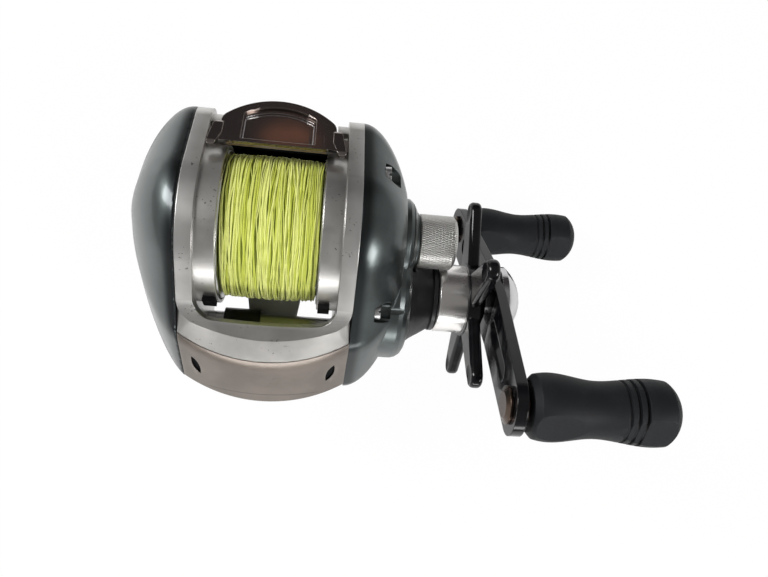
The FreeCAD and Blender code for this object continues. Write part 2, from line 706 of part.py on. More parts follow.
def brake_rotor():
    """The hub of the centrifugal brake, pressed on the spindle beside the spool."""
    x1 = -LINE_HALF - FLANGE_T - 0.8
    hub = tube(6.2, SHAFT_R, x1 - 1.8, x1)
    arms = [around(block(x1 - 1.5, x1 - 0.3, -0.5, 0.5, 6.0, 9.6), 90 * k) for k in range(4)]
    return union([hub, tube(2.6, SHAFT_R, x1, -5.0)] + arms)


def brake_shoes():
    """The four weights that slide on the rotor's arms and rub inside the brake drum."""
    x1 = -LINE_HALF - FLANGE_T - 0.8
    shoe = block(x1 - 1.9, x1 + 0.1, -1.3, 1.3, 8.0, 10.0)
    shoe = shoe.cut(block(x1 - 1.5, x1 - 0.3, -0.5, 0.5, 6.0, 9.6))
    return Part.makeCompound([around(shoe, 90 * k) for k in range(4)])


# ---------------------------------------------------------------- gears
def involute(angle):
    return math.tan(angle) - angle


def gear(module, teeth, addendum, x0, face, first_tooth, y, z):
    """A spur gear; first_tooth is the direction, in radians, that one tooth's middle points in."""
    pressure = math.radians(PRESSURE_ANGLE)
    pitch_r = module * teeth / 2
    base_r = pitch_r * math.cos(pressure)
    tip_r = pitch_r + addendum
    root_r = pitch_r - 1.25 * module
    half = math.pi / (2 * teeth) - BACKLASH / (2 * pitch_r)
    flank = [root_r, max(base_r, root_r + 0.05), (max(base_r, root_r) + tip_r) / 2, tip_r]
    spread = []
    for r in flank:
        roll = involute(math.acos(min(1.0, base_r / r)))
        spread.append(half + involute(pressure) - roll)
    points = []
    for k in range(teeth):
        middle = first_tooth + 2 * math.pi * k / teeth
        rise = [(r, middle - s) for r, s in zip(flank, spread)]
        fall = [(r, middle + s) for r, s in zip(reversed(flank), reversed(spread))]
        points += rise + fall
    ring = [(y + r * math.cos(a), z + r * math.sin(a)) for r, a in points]
    return polygon(ring, x0).extrude(vec(face, 0, 0))


def toward(y0, z0, y1, z1):
    return math.atan2(z1 - z0, y1 - y0)


def main_gear():
    """The main gear, with the cup behind its teeth that holds the drag washers."""
    angle = toward(SHAFT_Y, SHAFT_Z, 0, 0)
    wheel = gear(MAIN_MODULE, MAIN_TEETH, 0.9 * MAIN_MODULE, MAIN_X, MAIN_FACE, angle, SHAFT_Y, SHAFT_Z)
    cup = tube(DRAG_R + 1.2, DRAG_R + 0.05, DRAG_X, PLATE_X, SHAFT_Y, SHAFT_Z)
    return wheel.fuse(cup).removeSplitter().cut(rod(DRIVE_R, MAIN_X - 1, BIG, SHAFT_Y, SHAFT_Z))


def pinion():
    """The pinion: a slotted collar that grips the spindle's pin, the yoke's groove, teeth and a journal."""
    angle = toward(SHAFT_Y, SHAFT_Z, 0, 0) + math.pi + math.pi / PINION_TEETH
    journal_x = TEETH_X + PINION_LONG
    teeth = gear(MAIN_MODULE, PINION_TEETH, MAIN_MODULE, TEETH_X, PINION_LONG, angle, 0, 0)
    collar = rod(PINION_COLLAR_R, RAIL_X + 1.0, GROOVE_X)
    slot = block(RAIL_X - 1, RAIL_X + 2.4, -3, 3, -0.5, 0.5).fuse(rod(2.8, RAIL_X - 1, RAIL_X + 2.4))
    neck = rod(2.1, GROOVE_X, TEETH_X)
    journal = rod(2.2, journal_x, PINION_BEARING_X + BEARING_W - CLUTCH_TRAVEL - 0.1)
    dogs = union([block(RAIL_X + 1.0, RAIL_X + 2.4, -3, 3, z - 0.7, z + 0.7) for z in (-2.1, 2.1)])
    slot = slot.cut(dogs)
    whole = union([collar.cut(slot), neck, teeth, journal])
    return whole.cut(rod(SHAFT_R + GAP, RAIL_X, BIG))


def wind_gear():
    angle = toward(SHAFT_Y, SHAFT_Z, WORM_Y, WORM_Z)
    wheel = gear(WIND_MODULE, WIND_TEETH, 0.9 * WIND_MODULE, WIND_X, WIND_FACE, angle, SHAFT_Y, SHAFT_Z)
    return wheel.cut(rod(DRIVE_R, WIND_X - 1, BIG, SHAFT_Y, SHAFT_Z))


def worm_gear():
    angle = toward(WORM_Y, WORM_Z, SHAFT_Y, SHAFT_Z) + math.pi / WORM_TEETH
    wheel = gear(WIND_MODULE, WORM_TEETH, 0.9 * WIND_MODULE, WIND_X, WIND_FACE, angle, WORM_Y, WORM_Z)
    return wheel.cut(rod(WORM_END_R, WIND_X - 1, BIG, WORM_Y, WORM_Z))


def ratchet():
    """A six-toothed stop wheel behind the main gear."""
    points = []
    for k in range(6):
        a = k * math.pi / 3
        points += [(SHAFT_Y + 8.0 * math.cos(a), SHAFT_Z + 8.0 * math.sin(a)),
                   (SHAFT_Y + 6.2 * math.cos(a + 0.12), SHAFT_Z + 6.2 * math.sin(a + 0.12)),
                   (SHAFT_Y + 7.4 * math.cos(a + 0.7), SHAFT_Z + 7.4 * math.sin(a + 0.7))]
    return polygon(points, RATCHET_X).extrude(vec(RATCHET_T, 0, 0)).cut(
        rod(DRIVE_R, RATCHET_X - 1, BIG, SHAFT_Y, SHAFT_Z))


# ---------------------------------------------------------------- drive
def nut_x():
    return ARM_X + ARM_THICK


def drive_shaft():
    tip = rod(DRIVE_TIP_R, SEAM_X - BEARING_W + 0.1, SEAM_X + 0.3, SHAFT_Y, SHAFT_Z)
    body = rod(DRIVE_R, SEAM_X + 0.3, ARM_X, SHAFT_Y, SHAFT_Z)
    end = rod(DRIVE_R - 0.5, ARM_X, nut_x() + NUT_TALL - 1.8, SHAFT_Y, SHAFT_Z)
    return union([tip, body, end])


def drag_washers():
    """Two carbon washers with a steel one between them, in the main gear's cup."""
    rings = []
    for k in range(3):
        x = DRAG_X + k * WASHER_T
        rings.append(tube(DRAG_R, DRIVE_R, x, x + WASHER_T, SHAFT_Y, SHAFT_Z))
    return Part.makeCompound(rings)


def pressure_plate():
    return tube(DRAG_R, DRIVE_R, PLATE_X, PLATE_X + 0.8, SHAFT_Y, SHAFT_Z)


def drive_sleeve():
    """The tube that the one-way clutch grips, pressing the drag plate."""
    return tube(DRIVE_R + 1.0, DRIVE_R, PLATE_X + 0.8, SLEEVE_X - 0.2, SHAFT_Y, SHAFT_Z)


def handle_arm():
    """The double arm: a swept strip cut to a rounded outline, with a long slot in each half."""
    reach = ARM_LENGTH + ARM_END_R + 1
    rise = ARM_SWEEP * (reach - ARM_HUB_R) / (ARM_LENGTH - ARM_HUB_R)
    back = [(-reach, -rise), (-ARM_HUB_R, 0), (ARM_HUB_R, 0), (reach, -rise)]
    front = [(y, x + ARM_THICK) for y, x in reversed(back)]
    ring = [vec(ARM_X + x, SHAFT_Y + y, SHAFT_Z - 20) for y, x in back + front]
    strip = Part.Face(Part.makePolygon(ring + ring[:1])).extrude(vec(0, 0, 40))
    hub = (SHAFT_Y, SHAFT_Z, ARM_HUB_R)
    ends = [(SHAFT_Y + side * ARM_LENGTH, SHAFT_Z, ARM_END_R) for side in (1, -1)]
    arm = strip.common(prism([ends[0], hub, ends[1], hub], ARM_X - 5, ARM_X + 5))
    for side in (1, -1):
        near = SHAFT_Y + side * (ARM_HUB_R + SLOT_W)
        far = SHAFT_Y + side * (ARM_LENGTH - ARM_END_R - SLOT_W)
        pair = [(max(near, far), SHAFT_Z, SLOT_W / 2), (min(near, far), SHAFT_Z, SLOT_W / 2)]
        arm = arm.cut(prism(pair, ARM_X - 5, ARM_X + 5))
        arm = arm.cut(rod(POST_R, ARM_X - 5, ARM_X + 5, SHAFT_Y + side * ARM_LENGTH, SHAFT_Z))
    arm = arm.cut(rod(DRIVE_R - 0.5, ARM_X - 5, ARM_X + 5, SHAFT_Y, SHAFT_Z))
    return around(arm, 180 - ARM_ANGLE, SHAFT_Y, SHAFT_Z)


def arm_end(side):
    """(y, z) of the near (1) or the far (-1) knob's axis."""
    a = math.radians(180 - ARM_ANGLE)
    return SHAFT_Y + side * ARM_LENGTH * math.cos(a), SHAFT_Z + side * ARM_LENGTH * math.sin(a)


def knob_x():
    return nut_x() - ARM_SWEEP + 1.3


def knob_posts():
    """The posts that the knobs turn on, riveted over a washer on the arm's inner face."""
    posts = []
    face = ARM_X - ARM_SWEEP
    collar = nut_x() - ARM_SWEEP + 0.25
    stop = knob_x() - GAP
    end = stop + KNOB_LONG - 3.7
    for side in (1, -1):
        y, z = arm_end(side)
        posts.append(turned([(face - 1.4, 0), (face - 1.4, 2.6), (face - 0.8, 4.0), (face - 0.25, 4.0),
                             (face - 0.25, POST_R), (collar, POST_R), (collar, 3.6), (stop, 3.6),
                             (stop, POST_R), (end, POST_R), (end, 0)], y, z))
    return Part.makeCompound(posts)


def dome_nut():
    """The domed nut over the end of the drive shaft."""
    x0 = nut_x()
    rise = NUT_TALL - 1.5
    round_r = (NUT_R ** 2 + rise ** 2) / (2 * rise)
    ball = Part.makeSphere(round_r, vec(x0 + NUT_TALL - round_r, SHAFT_Y, SHAFT_Z), vec(1, 0, 0))
    nut = rod(NUT_R, x0, x0 + NUT_TALL, SHAFT_Y, SHAFT_Z).common(ball)
    return nut.cut(rod(DRIVE_R - 0.5, x0 - 1, x0 + NUT_TALL - 1.8, SHAFT_Y, SHAFT_Z))


# ---------------------------------------------------------------- star wheel
def star_finger():
    """A rounded finger that points along +Z, with a shallow hollow for the thumb near its tip."""
    low = STAR_X - STAR_FINGER / 2
    tip_z = SHAFT_Z + STAR_R - STAR_TIP_R
    bar = prism([(SHAFT_Y, SHAFT_Z + STAR_HUB_R - 1.2, STAR_ROOT_R), (SHAFT_Y, tip_z, STAR_TIP_R)],
                low, low + STAR_FINGER)
    bar = bar.makeFillet(STAR_ROUND, bar.Edges)
    ball = Part.makeSphere(2 * STAR_TIP_R, vec(low - 1.75 * STAR_TIP_R, SHAFT_Y, tip_z - 0.2))
    return bar.cut(ball)


def star_wheel():
    """Five rounded fingers on a dished hub."""
    low = STAR_X - STAR_THICK / 2
    high = STAR_X + STAR_THICK / 2
    hub = turned([(low, 0), (low, STAR_HUB_R), (high - 0.6, STAR_HUB_R + 0.6), (high, STAR_HUB_R),
                  (high + 1.4, 6.0), (high + 1.4, 0)], SHAFT_Y, SHAFT_Z)
    finger = star_finger()
    turns = [360 * k / STAR_ARMS + 90 - STAR_ANGLE for k in range(STAR_ARMS)]
    fingers = [around(finger, turn, SHAFT_Y, SHAFT_Z) for turn in turns]
    return union([hub] + fingers).cut(rod(DRIVE_R + RUNNING, STAR_X - 9, STAR_X + 9, SHAFT_Y, SHAFT_Z))


def star_sleeve():
    """The bright barrel behind the star, hollow towards the reel for the spring washers."""
    end = STAR_X - STAR_THICK / 2
    barrel = turned([(SLEEVE_X, DRIVE_R + 2.9), (SLEEVE_X, SLEEVE_R - 0.4), (SLEEVE_X + 0.4, SLEEVE_R),
                     (end, SLEEVE_R), (end, DRIVE_R + RUNNING), (SLEEVE_X + 4.4, DRIVE_R + RUNNING),
                     (SLEEVE_X + 4.4, DRIVE_R + 2.9)], SHAFT_Y, SHAFT_Z)
    return barrel


def spring_washers():
    """A pair of dished spring washers, back to back, that the star squeezes."""
    inner = DRIVE_R + GAP
    outer = DRIVE_R + 2.5
    rings = []
    for flat, dished in ((SLEEVE_X + 0.5, SLEEVE_X + 1.3), (SLEEVE_X + 3.7, SLEEVE_X + 2.9)):
        rings.append(turned([(flat, inner), (dished, outer), (dished + 0.5, outer), (flat + 0.5, inner)],
                            SHAFT_Y, SHAFT_Z))
    return Part.makeCompound(rings)


# ---------------------------------------------------------------- knobs
def knob(side):
    """A waisted grip with flattened sides, three grooves and a domed end."""
    y, z = arm_end(side)
    x = knob_x()
    outline = [(x, 5.4), (x + 1.2, KNOB_END_R - 0.4), (x + 4.0, KNOB_END_R),
               (x + KNOB_LONG * 0.42, KNOB_WAIST_R), (x + KNOB_LONG * 0.8, KNOB_END_R),
               (x + KNOB_LONG - 3.0, KNOB_END_R - 0.2)]
    rim = [vec(a, y, z + r) for a, r in outline]
    curve = Part.BSplineCurve()
    curve.interpolate(rim[1:])
    crown = vec(x + KNOB_LONG - 0.7, y, z + KNOB_END_R * 0.62)
    cap = Part.Arc(rim[-1], crown, vec(x + KNOB_LONG, y, z))
    chamfer = Part.LineSegment(rim[0], rim[1])
    bottom = Part.makePolygon([vec(x + KNOB_LONG, y, z), vec(x, y, z), rim[0]])
    face = Part.Face(Part.Wire([chamfer.toShape(), curve.toShape(), cap.toShape()] + bottom.Edges))
    grip = face.revolve(vec(0, y, z), vec(1, 0, 0), 360)
    for k in range(3):
        groove_x = x + KNOB_LONG * 0.6 + 1.7 * k
        grip = grip.cut(tube(KNOB_END_R + 1, KNOB_WAIST_R + 0.1, groove_x, groove_x + 0.7, y, z))
    flats = block(x - 1, x + KNOB_LONG + 1, y - BIG, y + BIG, z - KNOB_FLAT, z + KNOB_FLAT)
    flats = around(flats, 90 - ARM_ANGLE, y, z)
    return grip.common(flats).cut(rod(POST_R + RUNNING, x - 1, x + KNOB_LONG - 3.7, y, z))


# ---------------------------------------------------------------- cast control
def cast_cap():
    """The cast-control cap, which screws over the threaded boss and presses the spindle."""
    end = CAP_X + CAP_LONG
    bevel = 0.7
    bore = BOSS_R + RUNNING
    floor = BOSS_TIP_X + 1.4
    return turned([(CAP_X, bore), (CAP_X, CAP_R - 0.3), (CAP_X + 0.3, CAP_R), (end - bevel, CAP_R),
                   (end, CAP_R - bevel), (end, 0), (floor, 0), (floor, bore)])


# ---------------------------------------------------------------- level wind
def worm_end():
    return WIND_X + WIND_FACE + 0.4


def guide_bar_place():
    """(y, z) of the bar that keeps the line guide upright."""
    return WORM_Y - 5.2, WORM_Z + 0.6


def worm_groove():
    """One groove wound right-handed along the worm shaft."""
    reach = WORM_LEAD * WORM_TURNS
    helix = Part.makeHelix(WORM_LEAD, reach, WORM_R)
    rise = WORM_LEAD / (2 * math.pi * WORM_R)
    circle = Part.Wire(Part.makeCircle(GROOVE_R, vec(WORM_R, 0, 0), vec(0, 1, rise)))
    groove = Part.Wire(helix.Edges).makePipeShell([circle], True, True)
    groove.rotate(vec(0, 0, 0), vec(0, 1, 0), 90)
    groove.translate(vec(-reach / 2, WORM_Y, WORM_Z))
    return groove


def worm_shaft():
    """The shaft that shuttles the line guide, with crossed grooves that run into one another at both ends."""
    shaft = rod(WORM_R, -RAIL_X, RAIL_X, WORM_Y, WORM_Z)
    ends = rod(WORM_END_R, -SEAM_X + 1.6, worm_end(), WORM_Y, WORM_Z)
    right = worm_groove()
    left = around(mirrored(right), 180, WORM_Y, WORM_Z)
    return shaft.fuse(ends).removeSplitter().cut(right).cut(left)


def worm_tube():
    """The fixed tube round the worm shaft, slotted underneath for the pawl."""
    whole = tube(TUBE_R, WORM_R + GAP, -SEAM_X + 1.0, SEAM_X, WORM_Y, WORM_Z)
    slot = block(-RAIL_X + 1.5, RAIL_X - 1.5, WORM_Y - 1.3, WORM_Y + 1.3, WORM_Z - TUBE_R - 1, WORM_Z)
    return whole.cut(slot)


def worm_bushes():
    starts = (-SEAM_X + 1.6, SEAM_X - BUSH_W)
    rings = [tube(WORM_R + GAP, WORM_END_R + RUNNING, x, x + BUSH_W, WORM_Y, WORM_Z) for x in starts]
    return Part.makeCompound(rings)


def guide_bar():
    return rod(GUIDE_BAR_R, -RAIL_X - 1.5, RAIL_X + 1.5, *guide_bar_place())


def eye_place():
    """(y, z) of the middle of the eye that the line passes through."""
    return WORM_Y - 3.0, WORM_Z + TUBE_R + 4.2


def line_guide():
    """The carriage: a barrel on the worm tube, a tail on the guide bar and a frame for the eye."""
    x0 = CARRIAGE_X - CARRIAGE_W / 2
    x1 = CARRIAGE_X + CARRIAGE_W / 2
    bar_y, bar_z = guide_bar_place()
    eye_y, eye_z = eye_place()
    barrel = prism([(WORM_Y, WORM_Z, TUBE_R + CARRIAGE_WALL), (bar_y, bar_z, GUIDE_BAR_R + 0.9)], x0, x1)
    head = prism([(eye_y + 1.4, eye_z + 2.2, 1.0), (eye_y - 1.4, eye_z + 2.2, 1.0),
                  (eye_y - 1.4, WORM_Z + 1, 1.0), (eye_y + 1.4, WORM_Z + 1, 1.0)], x0 + 1, x1 - 1)
    body = barrel.fuse(head).removeSplitter()
    body = body.cut(rod(TUBE_R + RUNNING, x0 - 1, x1 + 1, WORM_Y, WORM_Z))
    body = body.cut(rod(GUIDE_BAR_R + RUNNING, x0 - 1, x1 + 1, bar_y, bar_z))
    body = body.cut(pawl())
    return body.cut(eye_slot(EYE_HALF + 0.8, 8))


def eye_slot(half, depth):
    """A rounded upright slot through the eye's frame."""
    y, z = eye_place()
    y0 = y - depth / 2
    low = z - EYE_TALL / 2
    high = z + EYE_TALL / 2
    ends = [Part.makeCylinder(half, depth, vec(CARRIAGE_X, y0, end), vec(0, 1, 0)) for end in (low, high)]
    return union(ends + [block(CARRIAGE_X - half, CARRIAGE_X + half, y0, y0 + depth, low, high)])


def eye_ring():
    """The hard ring in the line guide, which the line rubs on."""
    return eye_slot(EYE_HALF + 0.8, 5.6).cut(eye_slot(EYE_HALF, 8))


def pawl():
    """The pawl that reaches through the tube's slot into the grooves, and the cap that holds it."""
    bottom = WORM_Z - TUBE_R - CARRIAGE_WALL
    stem = Part.makeCylinder(1.0, WORM_Z - WORM_R - 0.1 - bottom, vec(CARRIAGE_X, WORM_Y, bottom))
    cap = Part.makeCylinder(1.9, 0.5, vec(CARRIAGE_X, WORM_Y, bottom - 0.5))
    return stem.fuse(cap).removeSplitter()


# ---------------------------------------------------------------- clutch
def yoke_places():
    return [(3.0, 9.0), (3.0, -9.0)]


def clutch_yoke():
    """The fork that lifts the pinion off the spindle's pin."""
    circles = [(yoke_places()[0][0], yoke_places()[0][1], 2.2), (0.0, 0.0, 4.2),
               (yoke_places()[1][0], yoke_places()[1][1], 2.2)]
    plate = prism(circles, YOKE_X, YOKE_X + YOKE_T)
    plate = plate.cut(rod(2.1 + GAP, YOKE_X - 1, YOKE_X + 2))
    plate = plate.cut(block(YOKE_X - 1, YOKE_X + 2, 0, 8, -2.1 - GAP, 2.1 + GAP))
    for y, z in yoke_places():
        plate = plate.cut(rod(1.0 + RUNNING, YOKE_X - 1, YOKE_X + 2, y, z))
    return plate


def yoke_posts():
    """The two posts that the fork slides on."""
    tip = YOKE_X + YOKE_T + CLUTCH_TRAVEL + 0.6
    return Part.makeCompound([rod(1.0, SEAM_X, tip, y, z) for y, z in yoke_places()])


def clutch_cam():
    """The plate that the thumb bar pushes down behind the fork."""
    y = arm_y() - 0.4
    z = arm_z() - 0.6
    plate = prism([(y, z, CAM_R * 0.6), (y - CAM_REACH, z - CAM_DROP, CAM_R)], SEAM_X + GAP, SEAM_X + 1.3)
    pin = rod(0.7, SEAM_X - 0.2, SEAM_X + GAP, y, z)
    return plate.fuse(pin).removeSplitter()


def bar_plan(half, front, margin):
    """A tall solid with the pad's bow at its rear, margin inside the pad's own edge."""
    rear = BAR_FRONT_Y + BAR_LONG - margin
    wire = bowed_wire(-BIG / 4, half, -rear, BAR_BOW_R - margin, BAR_CORNER_R - margin, -front)
    plan = Part.Face(wire).extrude(vec(0, 0, BIG / 2))
    plan.rotate(vec(0, 0, 0), vec(0, 0, 1), 180)
    return plan


def bar_layer(top, bottom):
    """A layer of the thumb bar's slope between two heights above its front edge."""
    front = BAR_FRONT_Y - 1
    rear = front + 2 * BAR_LONG
    rise = math.tan(math.radians(BAR_SLOPE))
    fall = (rear - front) * rise
    start = BAR_TOP_Z + rise
    end = start - fall
    corners = [(front, start + top), (front, start + bottom), (rear, end + bottom), (rear, end + top)]
    return polygon(corners, -BAR_HALF).extrude(vec(2 * BAR_HALF, 0, 0))


def thumb_bar():
    """The thumb bar: a sloping pad with a shallow pocket, and an ear and an arm on each side."""
    thick = BAR_PLATE / math.cos(math.radians(BAR_SLOPE))
    plan = bar_plan(BAR_HALF, BAR_FRONT_Y, 0.0)
    pad = bar_layer(0, -thick).common(plan)
    hollow = bar_plan(POCKET_HALF, BAR_FRONT_Y + POCKET_MARGIN / 2, POCKET_MARGIN)
    pad = pad.cut(bar_layer(thick, -POCKET_DEEP).common(hollow))
    tip_y = BAR_FRONT_Y - 0.5
    root_y = BAR_FRONT_Y + 3.4
    ear = prism([(tip_y, BAR_TOP_Z - 0.4, EAR_R), (root_y, BAR_TOP_Z - 3.2, EAR_R + 0.3)],
                BAR_HALF - 0.6, RAIL_X - GAP)
    splay = [(tip_y, -BAR_HALF - 1.4, EAR_R), (root_y, -BAR_HALF - 0.2, EAR_R + 0.4)]
    ear = ear.common(plan_prism(splay, 0, BIG))
    low = arm_z() - BAR_ARM / 2
    arm_front = arm_y() - BAR_ARM / 2
    arms = block(-RAIL_X - 1.8, SEAM_X - 0.2, arm_front, arm_front + BAR_ARM, low, low + BAR_ARM)
    web = block(-BAR_HALF, BAR_HALF, arm_front, arm_front + BAR_ARM, low, BAR_TOP_Z)
    web = web.common(bar_layer(-thick / 2, -BIG))
    return union([pad, arms, web.common(plan), ear, mirrored(ear)])


# ---------------------------------------------------------------- write the pieces
def main():
    os.makedirs("parts", exist_ok=True)
    pieces = {
        "frame": frame(), "front_hood": front_hood(), "palm_plate": palm_plate(),
        "gear_plate": gear_plate(), "plate_screws": plate_screws(), "clutch_housing": clutch_housing(),
        "one_way_clutch": one_way_clutch(), "foot": foot(), "foot_rivets": foot_rivets(),
        "brake_plate": brake_plate(), "palm_bearing": bearing(SHAFT_R, -SEAM_X + 1.4),
        "pinion_bearing": bearing(2.2, PINION_BEARING_X),
        "cap_bearing": bearing(SHAFT_R, BOSS_TIP_X - BEARING_W - 0.2),
        "drive_bearing": bearing(DRIVE_TIP_R, SEAM_X - BEARING_W, SHAFT_Y, SHAFT_Z),
        "worm_tube": worm_tube(), "worm_bushes": worm_bushes(), "guide_bar": guide_bar(),
        "yoke_posts": yoke_posts(), "drive_shaft": drive_shaft(), "main_gear": main_gear(),
        "wind_gear": wind_gear(), "ratchet": ratchet(), "drag_washers": drag_washers(),
        "pressure_plate": pressure_plate(), "drive_sleeve": drive_sleeve(), "handle_arm": handle_arm(),
        "knob_posts": knob_posts(), "dome_nut": dome_nut(), "star_wheel": star_wheel(),
        "star_sleeve": star_sleeve(), "spring_washers": spring_washers(), "near_knob": knob(1),
        "far_knob": knob(-1), "cast_cap": cast_cap(), "spool": spool(), "wound_line": wound_line(),
        "spool_shaft": spool_shaft(), "brake_rotor": brake_rotor(), "brake_shoes": brake_shoes(),
        "pinion": pinion(), "clutch_yoke": clutch_yoke(), "clutch_cam": clutch_cam(),
        "thumb_bar": thumb_bar(), "worm_shaft": worm_shaft(), "worm_gear": worm_gear(),
        "line_guide": line_guide(), "eye_ring": eye_ring(), "pawl": pawl(),
    }
    for name, shape in pieces.items():
        save(name, shape)
        print(f"{name:16s} {len(shape.Solids)} solids, {shape.Volume:9.2f} mm3, valid {shape.isValid()}")


main()
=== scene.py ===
# %% [markdown]
# # A baitcasting reel, dressed for a product shot
#
# The reel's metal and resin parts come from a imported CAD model: a fixed frame of named pieces in metres.
# This lesson gives every piece a finish, winds real strands of line on the spool and lights the result.
# Nothing here moves or resizes a CAD piece. A form that CAD keeps plain, such as the wound line, is
# replaced by a finer mesh that stays inside the same space.

import json
import math

import bmesh
import bpy
import numpy as np
from mathutils import Matrix, Vector

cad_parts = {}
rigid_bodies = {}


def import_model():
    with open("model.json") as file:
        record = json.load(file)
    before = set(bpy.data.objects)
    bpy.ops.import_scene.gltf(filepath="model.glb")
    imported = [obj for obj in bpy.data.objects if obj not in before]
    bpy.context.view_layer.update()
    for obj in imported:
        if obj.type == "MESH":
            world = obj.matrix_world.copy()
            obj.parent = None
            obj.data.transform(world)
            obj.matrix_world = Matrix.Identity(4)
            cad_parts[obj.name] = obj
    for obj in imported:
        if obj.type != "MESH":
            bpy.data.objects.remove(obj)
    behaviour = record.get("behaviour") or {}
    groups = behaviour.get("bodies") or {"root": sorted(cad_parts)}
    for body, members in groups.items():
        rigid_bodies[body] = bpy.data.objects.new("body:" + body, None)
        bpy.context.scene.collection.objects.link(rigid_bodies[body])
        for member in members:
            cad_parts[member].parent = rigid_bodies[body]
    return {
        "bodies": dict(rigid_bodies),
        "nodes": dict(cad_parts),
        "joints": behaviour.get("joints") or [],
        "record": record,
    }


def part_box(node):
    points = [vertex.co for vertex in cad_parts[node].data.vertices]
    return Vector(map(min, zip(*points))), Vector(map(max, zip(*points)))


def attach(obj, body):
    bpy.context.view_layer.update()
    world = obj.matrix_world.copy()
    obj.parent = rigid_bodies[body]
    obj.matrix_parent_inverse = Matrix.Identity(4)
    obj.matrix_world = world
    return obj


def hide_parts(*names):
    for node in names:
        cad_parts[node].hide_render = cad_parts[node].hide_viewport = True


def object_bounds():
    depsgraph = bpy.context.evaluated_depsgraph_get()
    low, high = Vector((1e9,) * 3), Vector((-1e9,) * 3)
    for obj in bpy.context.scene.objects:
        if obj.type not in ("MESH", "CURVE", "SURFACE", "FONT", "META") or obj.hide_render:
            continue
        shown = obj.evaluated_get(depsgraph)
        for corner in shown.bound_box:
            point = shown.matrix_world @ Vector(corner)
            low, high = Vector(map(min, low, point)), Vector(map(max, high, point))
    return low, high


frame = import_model()
cad_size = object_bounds()
nodes = frame["nodes"]
MM = 0.001


def mm(*values):
    """Millimetres as metres: one number, or a vector of three."""
    return values[0] * MM if len(values) == 1 else Vector(values) * MM


def joint_place(name):
    """A point on a joint's axis, from the record."""
    for joint in frame["joints"]:
        if joint["name"] == name:
            return Vector(joint["pos_m"])
    raise KeyError(name)


spool_axis = joint_place("spool_spin")
print("bodies:", ", ".join(frame["bodies"]))
print("spool axis at", [round(v * 1000, 2) for v in spool_axis], "mm")

# %% [markdown]
# ## Node maths written as sums
#
# A Blender material, and a Geometry Nodes recipe, is a graph of nodes. Adding Math nodes by hand hides the
# idea, so a small class wraps one socket and answers to +, -, * and /. Writing `1 - mask * 0.3` then adds
# the nodes for us. A `Graph` makes every other node through one method: type, settings, then inputs.

# %% A socket that can be used in sums
class Value:
    """One output socket of a node tree."""

    def __init__(self, graph, socket):
        self.graph = graph
        self.socket = socket

    def _sum(self, operation, first, second=None):
        inputs = {0: first} if second is None else {0: first, 1: second}
        return self.graph.node("ShaderNodeMath", {"operation": operation}, inputs)

    def __add__(self, other):
        return self._sum("ADD", self, other)

    def __sub__(self, other):
        return self._sum("SUBTRACT", self, other)

    def __rsub__(self, other):
        return self._sum("SUBTRACT", other, self)

    def __mul__(self, other):
        return self._sum("MULTIPLY", self, other)

    def __truediv__(self, other):
        return self._sum("DIVIDE", self, other)

    def power(self, other):
        return self._sum("POWER", self, other)

    def angle_with(self, other):
        return self._sum("ARCTAN2", self, other)

    def wave(self):
        return self._sum("SINE", self)

    def smooth(self, low, high):
        """0 below low, 1 above high, and an S-curve between."""
        return self.graph.node("ShaderNodeMapRange", {"interpolation_type": "SMOOTHSTEP"},
                               {"Value": self, "From Min": low, "From Max": high})

    __radd__ = __add__
    __rmul__ = __mul__


# %% Graphs of nodes
class Graph:
    """A node tree and the one method that fills it."""

    def __init__(self, tree):
        self.tree = tree

    def join(self, item, slot):
        if isinstance(item, Value):
            self.tree.links.new(item.socket, slot)
        else:
            slot.default_value = item

    def node(self, kind, settings, inputs, output=0):
        node = self.tree.nodes.new(kind)
        for key, value in settings.items():
            setattr(node, key, value)
        for key, value in inputs.items():
            self.join(value, node.inputs[key])
        return Value(self, node.outputs[output])


